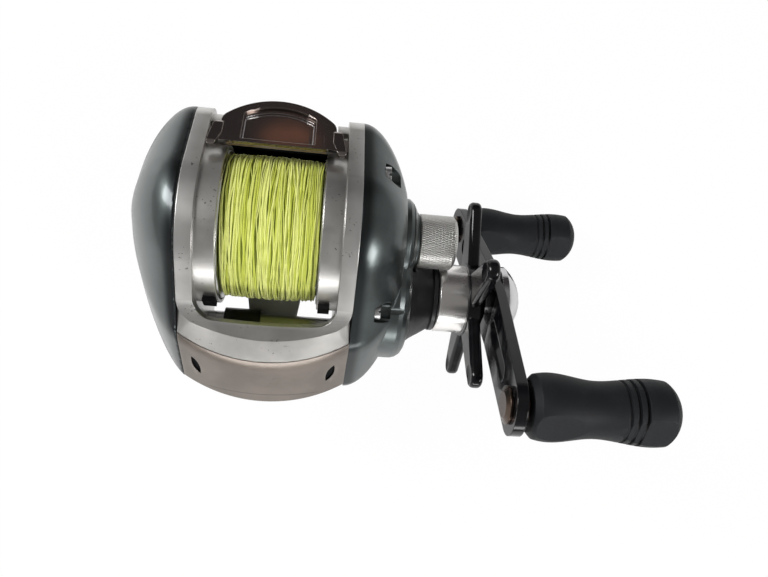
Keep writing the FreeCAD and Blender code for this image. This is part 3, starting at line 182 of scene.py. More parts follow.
class Finish(Graph):
    """A material, its Principled shader and the patterns that feed it."""

    def __init__(self, name):
        self.material = bpy.data.materials.new(name)
        self.material.use_nodes = True
        super().__init__(self.material.node_tree)
        self.shader = self.tree.nodes["Principled BSDF"]

    def place(self, stretch=(1, 1, 1), centre=(0, 0, 0)):
        """Object coordinates measured from a centre, stretched."""
        coords = self.node("ShaderNodeTexCoord", {}, {}, "Object")
        shift = tuple(-c * s for c, s in zip(centre, stretch))
        return self.node("ShaderNodeMapping", {}, {"Vector": coords, "Location": shift, "Scale": stretch})

    def axes(self, centre=(0, 0, 0)):
        """The three coordinates as separate values."""
        split = self.tree.nodes.new("ShaderNodeSeparateXYZ")
        self.join(self.place(centre=centre), split.inputs[0])
        return [Value(self, output) for output in split.outputs]

    def noise(self, scale, detail=3.0, rough=0.55, stretch=(1, 1, 1), warp=0.0):
        return self.node("ShaderNodeTexNoise", {"noise_dimensions": "3D"},
                         {"Vector": self.place(stretch), "Scale": scale, "Detail": detail,
                          "Roughness": rough, "Distortion": warp})

    def mix(self, mask, first, second):
        first, second = [c if isinstance(c, Value) else (*c, 1.0) for c in (first, second)]
        return self.node("ShaderNodeMix", {"data_type": "RGBA"}, {0: mask, 6: first, 7: second}, 2)

    def edges(self, low=0.52, high=0.62):
        """1 along sharp outer edges, where a finish wears first."""
        return self.node("ShaderNodeNewGeometry", {}, {}, "Pointiness").smooth(low, high)

    def rounded(self, radius):
        """A normal that turns over edges, as a casting's small radii do."""
        return self.node("ShaderNodeBevel", {"samples": 6}, {"Radius": radius})

    def bump(self, height, distance, strength=1.0, radius=0.0):
        inputs = {"Height": height, "Distance": distance, "Strength": strength}
        if radius:
            inputs["Normal"] = self.rounded(radius)
        return self.node("ShaderNodeBump", {}, inputs)

    def set(self, **sockets):
        for name, value in sockets.items():
            slot = self.shader.inputs[name.replace("_", " ")]
            if isinstance(value, tuple) and len(value) == 3 and slot.type == "RGBA":
                value = (*value, 1.0)
            self.join(value, slot)
        return self


print("helpers ready")

# %% [markdown]
# ## Painted finishes
#
# The frame of the real reel is cast aluminium under satin silver paint, its hood is a warmer grey, and the
# side covers are a dark green-grey metallic under clear lacquer. Paint over a casting has a slow cloud in
# its tone, fine flakes, wear along edges and a few pits. Each varies only colour, roughness and bump.

# %% Painted metals
def satin_paint(name, colour, rough=0.34, speckle=0.0, clear=0.25, edge=(0.72, 0.72, 0.71), worn=0.45,
                radius=0.28, shade=None):
    paint = Finish(name)
    cloud = paint.noise(90, 3)
    flake = paint.noise(9000, 1)
    grain = paint.noise(2600, 2)
    dark = tuple(c * 0.86 for c in colour)
    light = tuple(min(1.0, c * 1.10) for c in colour)
    tone = paint.mix(cloud.smooth(0.35, 0.65), dark, light)
    tone = paint.mix(paint.edges() * worn, tone, edge)
    if speckle:
        patch = paint.noise(160, 2).smooth(0.52, 0.62)
        pits = paint.noise(1500, 2).smooth(0.64, 0.69) * patch * speckle
        tone = paint.mix(pits, tone, (0.05, 0.04, 0.03))
    if shade:
        tone = shade(paint, tone)
    normal = paint.bump(grain + flake * 0.4, mm(0.01), 0.3, mm(radius))
    paint.set(Base_Color=tone, Metallic=0.9, Roughness=rough - 0.05 + cloud * 0.1 + flake * 0.05,
              Coat_Weight=clear, Coat_Roughness=0.12, Normal=normal)
    return paint.material


def painted_rim_shade(paint, tone):
    """Paints the flat rim of a side cover, next to the frame, darker than the dome: a painted shade."""
    x = paint.axes()[0]
    rim = (x * x).power(0.5).smooth(mm(20.2), mm(22.4))
    return paint.mix(rim, (0.022, 0.026, 0.027), tone)


def hood_groove(paint, tone):
    """A fine parting line along the hood, just above its lower edge."""
    x, y, z = paint.axes()
    line = 1.0 - ((z - mm(20.6) + x * x * 9.0).power(2.0).power(0.5)).smooth(mm(0.05), mm(0.22))
    inside = 1.0 - (x * x).power(0.5).smooth(mm(12.5), mm(13.5))
    return paint.mix(line * inside * 0.55, tone, (0.05, 0.045, 0.04))


def gloss_black(name):
    """Black enamel over metal, with faint dust and fine swirls that break its highlights."""
    paint = Finish(name)
    haze = paint.noise(260, 4).smooth(0.45, 0.75)
    scratch = paint.noise(700, 2, stretch=(0.1, 1, 1)).smooth(0.62, 0.72)
    tone = paint.mix(haze * 0.3, (0.004, 0.004, 0.005), (0.018, 0.018, 0.021))
    normal = paint.bump(paint.noise(1200, 2), mm(0.01), 0.12, mm(0.35))
    paint.set(Base_Color=tone, Metallic=0.0, Roughness=0.11 + haze * 0.08 + scratch * 0.1, Normal=normal)
    paint.shader.inputs["Specular IOR Level"].default_value = 0.32
    return paint.material


# %% [markdown]
# ## Plated, turned and knurled metal
#
# Chrome mirrors what stands round it, so its own colour matters little. Metal turned on a lathe carries
# fine rings round its axis. The cast control cap is knurled: two sets of grooves cross at a slant and leave
# small diamonds. Both patterns follow the axis, so they are written from the angle round it.

# %% Bare and plated metals
def plated(name, colour, rough=0.07, smoke=0.0, radius=0.3):
    metal = Finish(name)
    haze = metal.noise(120, 4)
    hairline = metal.noise(500, 2, stretch=(1, 0.08, 0.08)).smooth(0.64, 0.7)
    tone = metal.mix(haze.smooth(0.4, 0.7) * (0.2 + smoke), colour, tuple(c * 0.8 for c in colour))
    metal.set(Base_Color=tone, Metallic=1.0, Roughness=rough + haze * 0.06 + hairline * 0.12,
              Normal=metal.bump(metal.noise(900, 2), mm(0.01), 0.1, mm(radius)))
    return metal.material


def turned_metal(name, colour, rough=0.25, rings=5200):
    """Fine rings across X, where the tool has passed."""
    metal = Finish(name)
    ring = metal.noise(1, 2, stretch=(rings, 40, 40))
    cloud = metal.noise(150, 3)
    tone = metal.mix(cloud.smooth(0.3, 0.7), tuple(c * 0.85 for c in colour), colour)
    tone = metal.mix(metal.edges() * 0.4, tone, tuple(min(1, c * 1.25) for c in colour))
    metal.set(Base_Color=tone, Metallic=1.0, Roughness=rough + ring * 0.12,
              Normal=metal.bump(ring, mm(0.01), 0.3, mm(0.15)))
    return metal.material


def knurled(name, colour, axis, diamonds=74.0, pitch=0.78):
    """Crossed slanting grooves on the rim; the flat end stays plain because the grooves fade there."""
    metal = Finish(name)
    x, y, z = metal.axes(axis)
    around = y.angle_with(z) * diamonds
    along = x * (2 * math.pi / mm(pitch) * 0.5)
    ridge = (around + along).wave() * 0.5 + (around - along).wave() * 0.5
    reach = (y * y + z * z).power(0.5)
    rim = reach.smooth(mm(5.7), mm(6.1))
    top = ridge.smooth(-0.35, 0.45)
    grime = metal.noise(300, 3)
    # The grooves are painted darker than the diamonds' tops: a painted shade in the grooves.
    tone = metal.mix(top, tuple(c * 0.45 for c in colour), colour)
    tone = metal.mix(rim, colour, tone)
    metal.set(Base_Color=tone, Metallic=1.0, Roughness=0.3 + grime * 0.12,
              Normal=metal.bump(top * rim, mm(0.14), 0.8, mm(0.15)))
    return metal.material


# %% [markdown]
# ## Moulded resin, rubber and cloth
#
# The knobs are soft black rubber. Its skin is very fine, dust lies on it in patches, and hands polish its
# edges. The drag washers are carbon cloth, a checker of dark bundles. The line is a braid of yarns.

# %% Moulded and woven finishes
def moulded(name, colour, rough=0.5, grain=2200, depth=0.03, gloss=0.35):
    skin = Finish(name)
    fine = skin.noise(grain, 3)
    dust = skin.noise(180, 4).smooth(0.45, 0.75)
    rubbed = skin.edges(0.51, 0.6)
    tone = skin.mix(dust * 0.4, colour, tuple(c * 1.5 + 0.004 for c in colour))
    tone = skin.mix(rubbed * 0.25, tone, tuple(c * 2.0 + 0.012 for c in colour))
    skin.set(Base_Color=tone, Roughness=rough + fine * 0.15 - rubbed * 0.1, Metallic=0.0,
             Normal=skin.bump(fine, mm(depth), 0.4, mm(0.25)))
    skin.shader.inputs["Specular IOR Level"].default_value = gloss
    return skin.material


def woven_carbon(name):
    cloth = Finish(name)
    check = cloth.node("ShaderNodeTexChecker", {}, {"Vector": cloth.place(), "Scale": 900.0}, "Fac")
    tone = cloth.mix(check, (0.02, 0.02, 0.022), (0.07, 0.07, 0.075))
    cloth.set(Base_Color=tone, Roughness=0.45 + check * 0.2, Normal=cloth.bump(check, mm(0.02), 0.5))
    return cloth.material


def braid(name, deep, pale):
    """Yarn whose tone changes from strand to strand and along each strand."""
    yarn = Finish(name)
    strand = yarn.node("ShaderNodeAttribute", {"attribute_name": "strand_tone"}, {}, "Fac")
    along = yarn.noise(420, 4)
    weave = yarn.noise(1, 2, stretch=(4200, 2600, 2600))
    tone = yarn.mix(strand.smooth(0.1, 0.95), deep, pale)
    tone = yarn.mix(along.smooth(0.45, 0.75) * 0.35, tone, tuple(c * 0.7 for c in deep))
    yarn.set(Base_Color=tone, Roughness=0.6 + weave * 0.2, Normal=yarn.bump(weave, mm(0.05), 0.7))
    yarn.shader.inputs["Sheen Weight"].default_value = 0.2
    return yarn.material


# %% [markdown]
# ## Which finish goes on which piece
#
# The record names a material slot for every CAD node, so a dictionary from slot to finish dresses them all
# in one loop. New pieces made later ask for their finish by the same slot names.

# %% Dress the CAD nodes
finishes = {
    "frame_silver": satin_paint("satin_silver", (0.45, 0.44, 0.42), 0.33, speckle=0.7),
    "hood_silver": satin_paint("warm_silver", (0.185, 0.158, 0.136), 0.30, speckle=0.25, clear=0.15,
                               edge=(0.42, 0.39, 0.36), worn=0.25, radius=0.14, shade=hood_groove),
    "gunmetal": satin_paint("gunmetal_lacquer", (0.092, 0.106, 0.105), 0.30, clear=0.35,
                            edge=(0.18, 0.20, 0.20), worn=0.4, shade=painted_rim_shade),
    "foot_grey": satin_paint("foot_grey", (0.26, 0.27, 0.275), 0.38),
    "black_chrome": plated("smoked_chrome", (0.36, 0.32, 0.30), 0.06, smoke=0.2, radius=0.16),
    "chrome": plated("bright_chrome", (0.60, 0.60, 0.61), 0.08),
    "cap_silver": knurled("knurled_aluminium", (0.74, 0.73, 0.70), spool_axis),
    "spool_silver": turned_metal("spool_aluminium", (0.66, 0.66, 0.65), 0.18),
    "gloss_black": gloss_black("black_enamel"),
    "black_resin": moulded("black_resin", (0.012, 0.012, 0.013), 0.34, depth=0.01, gloss=0.45),
    "knob_rubber": moulded("knob_rubber", (0.0065, 0.0075, 0.009), 0.52, gloss=0.25),
    "braid": braid("lime_braid", (0.54, 0.60, 0.060), (0.82, 0.86, 0.27)),
    "steel": turned_metal("ground_steel", (0.52, 0.52, 0.52), 0.24),
    "brass": turned_metal("machined_brass", (0.66, 0.47, 0.20), 0.26),
    "bronze": plated("dark_bronze", (0.085, 0.060, 0.046), 0.24, smoke=0.2),
    "carbon": woven_carbon("carbon_cloth"),
    "ceramic": moulded("hard_ring", (0.62, 0.60, 0.54), 0.12, grain=900, depth=0.004, gloss=0.5),
}
slot_of = {entry["node"]: entry["material_slot"] for entry in frame["record"]["subparts"]}


def dress(piece, body):
    """Attaches a new piece to its body."""
    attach(piece, body)
    return piece


for name, piece in nodes.items():
    piece.data.materials.clear()
    piece.data.materials.append(finishes[slot_of[name]])

# The star's sleeve is the same plating, brushed round, so it spreads the light that the nut mirrors.
nodes["star_sleeve"].data.materials[0] = plated("brushed_chrome", (0.93, 0.91, 0.89), 0.24)
print(len(nodes), "CAD nodes dressed in", len(finishes), "finishes")

# %% [markdown]
# ## Geometry Nodes as a recipe
#
# Geometry Nodes build what repeats. A `Recipe` is a node tree with named inputs, so the same recipe can be
# used with other numbers. Its result is turned into a plain mesh, because an exported model keeps meshes
# and drops modifiers. The inputs are set by each socket's identifier before the object is first evaluated.

# %% A recipe and how it is cooked
class Recipe(Graph):
    """A Geometry Nodes tree with named inputs."""

    def __init__(self, name, sizes):
        super().__init__(bpy.data.node_groups.new(name, "GeometryNodeTree"))
        self.sizes = sizes
        self.tree.interface.new_socket("Geometry", in_out="OUTPUT", socket_type="NodeSocketGeometry")
        for key, value in sizes.items():
            kind = "NodeSocketInt" if isinstance(value, int) else "NodeSocketFloat"
            self.tree.interface.new_socket(key, in_out="INPUT", socket_type=kind)
        self.entry = self.tree.nodes.new("NodeGroupInput")
        self.exit = self.tree.nodes.new("NodeGroupOutput")

    def size(self, name):
        return Value(self, self.entry.outputs[name])

    def vector(self, x, y, z):
        return self.node("ShaderNodeCombineXYZ", {}, {0: x, 1: y, 2: z})

    def chance(self, low, high, seed):
        """A random number for each item, the same at every run."""
        return self.node("FunctionNodeRandomValue", {"data_type": "FLOAT"},
                         {"Min": low, "Max": high, "Seed": seed}, 1)

    def cook(self, name, changes, place):
        """The recipe's result as a plain mesh object, moved to its place."""
        mesh = bpy.data.meshes.new(name + "_start")
        pot = bpy.data.objects.new(name + "_start", mesh)
        bpy.context.scene.collection.objects.link(pot)
        step = pot.modifiers.new("recipe", "NODES")
        step.node_group = self.tree
        for item in self.tree.interface.items_tree:
            if item.in_out == "INPUT":
                step[item.identifier] = changes.get(item.name, self.sizes[item.name])
        graph = bpy.context.evaluated_depsgraph_get()
        made = bpy.data.meshes.new_from_object(pot.evaluated_get(graph))
        pot.modifiers.clear()
        bpy.data.objects.remove(pot)
        made.transform(Matrix.Translation(place))
        made.name = name
        piece = bpy.data.objects.new(name, made)
        bpy.context.scene.collection.objects.link(piece)
        return piece


# %% [markdown]
# ## The wound line
#
# CAD keeps the line as one smooth drum. Real braid lies in separate turns that cross one another a little,
# with dark gaps between them. Each strand here starts as a circle round the spool, is tipped by a small
# random angle, and then wanders with a noise field. A tube follows it. Its own tone is stored on it, so the
# finish can tell strands apart. A core just below them fills what the gaps would show.

# %% Wind the strands
def winding_recipe(material):
    sizes = {"Strands": 66, "Half width": mm(9.9), "Radius": mm(16.42), "Crown": mm(0.35), "Spread": mm(0.12),
             "Tilt": 0.05, "Wander": mm(1.9), "Bounce": mm(0.22), "Thickness": mm(0.33), "Seed": 3}
    r = Recipe("winding", sizes)
    half = r.size("Half width")
    rail = r.node("GeometryNodeMeshLine", {"mode": "END_POINTS"},
                  {"Count": r.size("Strands"), "Start Location": r.vector(0.0 - half, 0.0, 0.0),
                   "Offset": r.vector(half, 0.0, 0.0)})
    ring = r.node("GeometryNodeCurvePrimitiveCircle", {}, {"Resolution": 120, "Radius": 1.0})
    ring = r.node("GeometryNodeTransform", {}, {"Geometry": ring, "Rotation": (0, math.pi / 2, 0)})
    seed = r.size("Seed")
    spot = r.tree.nodes.new("ShaderNodeSeparateXYZ")
    r.join(r.node("GeometryNodeInputPosition", {}, {}), spot.inputs[0])
    share = Value(r, spot.outputs[0]) / half
    crown = share * share * r.size("Crown")
    radius = r.size("Radius") - crown + r.chance(-1.0, 1.0, seed) * r.size("Spread")
    tip = r.vector(r.chance(0.0, 6.283, seed + 1), r.chance(-1.0, 1.0, seed + 2) * r.size("Tilt"),
                   r.chance(-1.0, 1.0, seed + 4) * r.size("Tilt"))
    size = r.vector(radius, radius, radius)
    turns = r.node("GeometryNodeInstanceOnPoints", {},
                   {"Points": rail, "Instance": ring, "Rotation": tip, "Scale": size})
    turns = r.node("GeometryNodeStoreNamedAttribute", {"data_type": "FLOAT", "domain": "INSTANCE"},
                   {"Geometry": turns, "Name": "strand_tone", "Value": r.chance(0.0, 1.0, seed + 7)})
    turns = r.node("GeometryNodeRealizeInstances", {}, {"Geometry": turns})
    tone = r.node("GeometryNodeInputNamedAttribute", {"data_type": "FLOAT"}, {"Name": "strand_tone"})
    field = r.node("ShaderNodeTexNoise", {"noise_dimensions": "4D"},
                   {"W": tone * 90.0, "Scale": 75.0, "Detail": 2.0}, "Color")
    field = r.node("ShaderNodeVectorMath", {"operation": "SUBTRACT"}, {0: field, 1: (0.5, 0.5, 0.5)})
    reach = r.vector(r.size("Wander"), r.size("Bounce"), r.size("Bounce"))
    field = r.node("ShaderNodeVectorMath", {"operation": "MULTIPLY"}, {0: field, 1: reach})
    turns = r.node("GeometryNodeSetPosition", {}, {"Geometry": turns, "Offset": field})
    section = r.node("GeometryNodeCurvePrimitiveCircle", {},
                     {"Resolution": 6, "Radius": r.size("Thickness") * 0.5})
    tubes = r.node("GeometryNodeCurveToMesh", {}, {"Curve": turns, "Profile Curve": section})
    tubes = r.node("GeometryNodeSetShadeSmooth", {}, {"Geometry": tubes})
    tubes = r.node("GeometryNodeSetMaterial", {}, {"Geometry": tubes, "Material": material})
    r.join(tubes, r.exit.inputs[0])
    return r


def lathe(name, profile, material, centre, steps=128):
    """A mesh turned round the X axis from (x, radius) points."""
    mesh = bmesh.new()
    ring = [[mesh.verts.new((x, r * math.cos(a), r * math.sin(a))) for x, r in profile]
            for a in (2 * math.pi * s / steps for s in range(steps))]
    for a, b in zip(ring, ring[1:] + ring[:1]):
        for i in range(len(profile) - 1):
            mesh.faces.new((a[i], b[i], b[i + 1], a[i + 1]))
    mesh.faces.new([r[0] for r in ring])
    mesh.faces.new([r[-1] for r in reversed(ring)])
    bmesh.ops.recalc_face_normals(mesh, faces=mesh.faces)
    data = bpy.data.meshes.new(name)
    mesh.to_mesh(data)
    mesh.free()
    for face in data.polygons:
        face.use_smooth = True
    data.transform(Matrix.Translation(centre))
    data.materials.append(material)
    piece = bpy.data.objects.new(name, data)
    bpy.context.scene.collection.objects.link(piece)
    return piece


shadow_braid = braid("shadow_braid", (0.27, 0.31, 0.025), (0.34, 0.38, 0.06))
core_profile = [(mm(x), mm(16.05 - 0.3 * (x / 10.4) ** 2)) for x in (-10.4, -7, -3.5, 0, 3.5, 7, 10.4)]
core = dress(lathe("line_core", core_profile, shadow_braid, spool_axis), "spool")
winding = winding_recipe(finishes["braid"])
under = dress(winding.cook("line_under", {"Radius": mm(16.2), "Seed": 40, "Wander": mm(1.6)}, spool_axis),
              "spool")
over = dress(winding.cook("line_over", {}, spool_axis), "spool")
few_strands = {"Strands": 11, "Half width": mm(8.0), "Radius": mm(16.6), "Tilt": 0.13, "Wander": mm(3.4),
               "Bounce": mm(0.3), "Thickness": mm(0.22), "Spread": mm(0.05), "Seed": 88}
loose = dress(winding.cook("line_loose", few_strands, spool_axis), "spool")
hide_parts("wound_line")
for piece in (core, under, over, loose):
    print(piece.name, len(piece.data.polygons), "faces")

# %% [markdown]
# ## The palm-side cover
#
# The CAD cover is lofted between outlines that shrink towards its middle, which leaves faint ridges in its
# shine, where the real cover is one smooth dome. A copy of its mesh is remade with even faces, and its
# normals are then blended with their neighbours', so that the light runs smoothly.
#
# Remaking the mesh moves it a little. The outer face stays within 0.04 mm of the CAD cover. The thin edge
# loses up to 0.55 mm at its sharp corner, and places inside the shell, which don't show, up to 0.6 mm. The
# CAD cover keeps its own form for collision.

# %% Even faces, blended normals
def merged_copy(name, new_name):
    """A CAD node's mesh as a joined-up copy."""
    mesh = bmesh.new()
    mesh.from_mesh(nodes[name].data)
    bmesh.ops.remove_doubles(mesh, verts=mesh.verts, dist=mm(0.0001))
    data = bpy.data.meshes.new(new_name)
    mesh.to_mesh(data)
    mesh.free()
    piece = bpy.data.objects.new(new_name, data)
    bpy.context.scene.collection.objects.link(piece)
    return piece


def with_modifier(piece, kind, **settings):
    """The piece with one modifier applied to its mesh."""
    step = piece.modifiers.new(kind.lower(), kind)
    for key, value in settings.items():
        setattr(step, key, value)
    graph = bpy.context.evaluated_depsgraph_get()
    data = bpy.data.meshes.new_from_object(piece.evaluated_get(graph))
    piece.modifiers.clear()
    piece.data = data
    return piece


COVER_RIM = mm(1.0)
RIM_FADE = mm(2.5)
BLEND_STEP = 0.7


def spread(values, first, second, count):
    """For every vertex, the sum of its neighbours' values."""
    return np.bincount(first, values[second], count) + np.bincount(second, values[first], count)


def blend_normals(mesh, centre, rounds=260):
    """Spreads the outer side's normals over their neighbours. The rim and the inside keep theirs."""
    count = len(mesh.vertices)
    centre = np.array(centre)
    places = np.empty(count * 3)
    normals = np.empty(count * 3)
    mesh.vertices.foreach_get("co", places)
    mesh.vertex_normals.foreach_get("vector", normals)
    ends = np.empty(len(mesh.edges) * 2, int)
    mesh.edges.foreach_get("vertices", ends)
    places, normals, ends = places.reshape(-1, 3), normals.reshape(-1, 3), ends.reshape(-1, 2)
    outer = np.einsum("ij,ij->i", normals, places - centre) > 0
    free = np.clip((centre[0] - COVER_RIM - places[:, 0]) / RIM_FADE, 0, 1) * outer
    first, second = ends[:, 0], ends[:, 1]
    both = outer[first] & outer[second]
    first, second = first[both], second[both]
    links = np.bincount(first, minlength=count) + np.bincount(second, minlength=count)
    for _ in range(rounds):
        total = np.stack([spread(normals[:, i], first, second, count) for i in range(3)], axis=1)
        mean = total / np.maximum(links, 1)[:, None]
        normals = normals + (mean - normals) * (BLEND_STEP * free * (links > 0))[:, None]
        normals /= np.maximum(np.linalg.norm(normals, axis=1), 1e-9)[:, None]
    mesh.normals_split_custom_set_from_vertices(normals)


cover = merged_copy("palm_plate", "palm_dome")
cover = with_modifier(cover, "REMESH", mode="VOXEL", voxel_size=mm(0.42), use_smooth_shade=True)
cover = with_modifier(cover, "SMOOTH", iterations=4, factor=0.5)
cover.data.name = "palm_dome"
cover.data.materials.clear()
cover.data.materials.append(finishes["gunmetal"])
low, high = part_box("palm_plate")
blend_normals(cover.data, (high.x, (low.y + high.y) / 2, (low.z + high.z) / 2))
dress(cover, "frame")
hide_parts("palm_plate")
print("palm dome:", len(cover.data.polygons), "faces")

# %% [markdown]
# ## Ridges on the thumb bar
#
# The thumb bar is pressed from thin plate and plated dark. A raised bead runs down each side of its pocket
# and round the back, and fine ridges near its front edge keep a wet thumb from slipping. A bead is a tube
# along a line, so each is a curve with a round section, turned into a mesh.

# %% Beads along lines
def beads(name, runs, radius, material):
    """Tubes of one radius along several runs of points."""
    curve = bpy.data.curves.new(name, "CURVE")
    curve.dimensions = "3D"
    curve.bevel_depth = radius
    curve.bevel_resolution = 2
    curve.use_fill_caps = True
    for run in runs:
        spline = curve.splines.new("POLY")
        spline.points.add(len(run) - 1)
        for point, place in zip(spline.points, run):
            point.co = (*place, 1.0)
    thing = bpy.data.objects.new(name + "_path", curve)
    bpy.context.scene.collection.objects.link(thing)
    graph = bpy.context.evaluated_depsgraph_get()
    mesh = bpy.data.meshes.new_from_object(thing.evaluated_get(graph))
    bpy.data.objects.remove(thing)
    mesh.name = name
    mesh.materials.clear()
    mesh.materials.append(material)
    for face in mesh.polygons:
        face.use_smooth = True
    piece = bpy.data.objects.new(name, mesh)
    bpy.context.scene.collection.objects.link(piece)
    return piece


BAR_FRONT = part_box("thumb_bar")[0].y + mm(0.05)
BAR_FALL = 0.7375      # how far the bar's top drops for each length towards the back
BAR_SINK = 0.12        # how deep a bead's line lies in the plate, in millimetres
POCKET_BOW = 16.3      # the radius of the pocket's bowed end
POCKET_LONG = 9.25     # the pocket's length at its middle


def on_bar(x, y):
    """A point on the bar's sloping top, x across it and y behind its front edge, in millimetres."""
    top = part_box("thumb_bar")[1].z
    return Vector((mm(x), BAR_FRONT + mm(y), top - mm(y) * BAR_FALL - mm(BAR_SINK)))


def pocket_back(x, inset):
    """How far back the pocket's bowed end lies at x."""
    bow = POCKET_BOW - inset
    return POCKET_LONG - inset - (bow - math.sqrt(bow ** 2 - x ** 2))


sides = [[on_bar(side * x, 1.3), on_bar(side * x, pocket_back(x, 0.4))]
         for side in (-1, 1) for x in (7.55, 8.1)]
back = [[on_bar(x / 4, pocket_back(x / 4, inset)) for x in range(-30, 31)] for inset in (-0.15, 0.45)]
grip = [[on_bar(-10.6, 0.55 + 0.34 * i), on_bar(10.6, 0.55 + 0.34 * i)] for i in range(5)]
# The beads are given bright chrome and the grip ridges brass, lighter than the dark plate they are pressed
# from: a painted highlight along each bead, and a warm painted reflection on the ridges.
for name, runs, radius, plate in (("bar_sides", sides, mm(0.15), finishes["chrome"]),
                                  ("bar_back", back, mm(0.06), finishes["chrome"]),
                                  ("bar_grip", grip, mm(0.05), finishes["brass"])):
    piece = dress(beads(name, runs, radius, plate), "thumb_bar")
    print(name, len(piece.data.polygons), "faces")

# %% [markdown]
# ## Small dark parts
#
# Three dark details give the bright frame its depth. A dark sheet on the wall behind the spool, with a flat
# sheet along its foot, is painted shade: that wall lies in deep shade. Dark blocks sit where the frame's
# rings end over the level wind. A dark sheet in each leaf-shaped slot of the hood, a millimetre down, is
# painted shade for the slot's depth.

# %% Painted shade sheets and ring blocks
def solid(name, bottom, top, material):
    """A closed piece between two loops of points that match."""
    mesh = bmesh.new()
    low = [mesh.verts.new(point) for point in bottom]
    high = [mesh.verts.new(point) for point in top]
    mesh.faces.new(low)
    mesh.faces.new(high)
    for i in range(len(low)):
        j = (i + 1) % len(low)
        mesh.faces.new((low[i], low[j], high[j], high[i]))
    bmesh.ops.recalc_face_normals(mesh, faces=mesh.faces)
    data = bpy.data.meshes.new(name)
    mesh.to_mesh(data)
    mesh.free()
    data.materials.append(material)
    piece = bpy.data.objects.new(name, data)
    bpy.context.scene.collection.objects.link(piece)
    return piece


def rounded_outline(x0, x1, z0, z1, r, steps=6):
    """A rectangle with round corners, in X and Z."""
    points = []
    corners = ((x1 - r, z1 - r, 0), (x0 + r, z1 - r, 90), (x0 + r, z0 + r, 180), (x1 - r, z0 + r, 270))
    for cx, cz, start in corners:
        for i in range(steps + 1):
            a = math.radians(start + 90 * i / steps)
            points.append((cx + r * math.cos(a), cz + r * math.sin(a)))
    return points


# A matte black for the sheets of painted shade behind the spool and in the hood's slots, and for the dark
# blocks at the rings' ends.
resin = moulded("matte_resin", (0.006, 0.006, 0.0065), 0.85, gloss=0.04)
SHADE_HALF = 15.2
# A sheet of painted shade on the wall behind the spool, and another along its foot.
wall = rounded_outline(-SHADE_HALF, SHADE_HALF, 7.0, 15.9, 0.8)
wall_shade = solid("rear_wall_shade", [mm(x, 22.45, z) for x, z in wall], [mm(x, 22.0, z) for x, z in wall], resin)
sheet = rounded_outline(-SHADE_HALF, SHADE_HALF, 15.4, 22.3, 0.8)
foot_shade = solid("rear_foot_shade", [mm(x, y, 7.6) for x, y in sheet], [mm(x, y, 8.1) for x, y in sheet], resin)
for piece in (wall_shade, foot_shade):
    dress(piece, "frame")


def ring_block(name, x0, x1):
    """A short block bent round the outside of a ring, at the front of the spool."""
    loops = []
    for x in (x0, x1):
        loop = []
        for radius, angles in ((18.0, range(154, 167, 2)), (19.3, range(166, 153, -2))):
            for angle in angles:
                a = math.radians(angle)
                loop.append(spool_axis + mm(x, radius * math.cos(a), radius * math.sin(a)))
        loops.append(loop)
    return solid(name, loops[0], loops[1], resin)


for name, x0, x1 in (("palm_ring_pad", -14.1, -11.3), ("gear_ring_pad", 11.3, 13.9)):
    dress(ring_block(name, x0, x1), "frame")


HOOD_BOW = 36.0        # the radius of the hood's front, seen from above
LEAF_X = 15.4          # a slot's distance from the reel's middle
LEAF_Y = -29.7
LEAF_TOP = 0.8         # how far below the hood a sheet of painted shade starts and ends
LEAF_BOTTOM = 1.6


def hood_height(x, y):
    """The hood's outer height, from its middle: the same section runs along its bow."""
    bow = HOOD_BOW - math.sqrt(HOOD_BOW ** 2 - x ** 2)
    hit = nodes["front_hood"].ray_cast(mm(0, y - bow, 60), Vector((0, 0, -1)))
    return hit[1].z * 1000


def shade_leaf(name, side, middle_y, reach=3.95, width=1.5, turn=20.0):
    """A slender dark leaf between two arcs, a millimetre below the hood's surface: painted shade in the slot.
    """
    offset = reach - width / 2
    tip = math.degrees(math.acos(offset / reach))
    arcs = [(-offset, range(-8, 9)), (offset, range(8, -9, -1))]
    loop = []
    for shift, steps in arcs:
        for i in steps[:-1]:
            a = math.radians(tip * i / 8)
            x = shift + reach * math.cos(a) if shift < 0 else shift - reach * math.cos(a)
            y = reach * math.sin(a)
            loop.append((x, y))
    t = math.radians(-side * turn)
    loop = [(side * LEAF_X + x * math.cos(t) - y * math.sin(t), middle_y + x * math.sin(t) + y * math.cos(t))
            for x, y in loop]
    top = [mm(x, y, hood_height(x, y) - LEAF_TOP) for x, y in loop]
    low = [mm(x, y, hood_height(x, y) - LEAF_BOTTOM) for x, y in loop]
    return solid(name, low, top, resin)


for name, side in (("palm_leaf", -1), ("gear_leaf", 1)):
    dress(shade_leaf(name, side, LEAF_Y), "frame")
print("guard, pads and inserts made")

# %% [markdown]
# ## The studio
#
# A small product shot needs a pale floor, a broad soft lamp above and gentle fill from the sides. Metal
# shows what stands round it. A sky that is dark overhead and bright near the horizon gives flat faces a
# middle grey and rounded edges a bright line, which is how a white studio table looks to chrome.

# %% Floor, sky and lamps
def studio_floor():
    low = cad_size[0][2] - mm(1.0)
    mesh = bpy.data.meshes.new("floor")
    side = 3.0
    mesh.from_pydata([(-side, -side, low), (side, -side, low), (side, side, low), (-side, side, low)],
                     [], [(0, 1, 2, 3)])
    floor = bpy.data.objects.new("floor", mesh)
    bpy.context.scene.collection.objects.link(floor)
    paint = Finish("studio_floor")
    grain = paint.noise(6, 2)
    paint.set(Base_Color=paint.mix(grain, (0.90, 0.90, 0.90), (0.93, 0.93, 0.93)), Roughness=0.9)
    glow = paint.tree.nodes.new("ShaderNodeEmission")
    ray = paint.tree.nodes.new("ShaderNodeLightPath")
    blend = paint.tree.nodes.new("ShaderNodeMixShader")
    seen = Value(paint, ray.outputs["Is Camera Ray"])
    paint.join(seen * 0.97, blend.inputs[0])
    paint.tree.links.new(paint.shader.outputs[0], blend.inputs[1])
    paint.tree.links.new(glow.outputs[0], blend.inputs[2])
    paint.tree.links.new(blend.outputs[0], paint.tree.nodes["Material Output"].inputs[0])
    mesh.materials.append(paint.material)


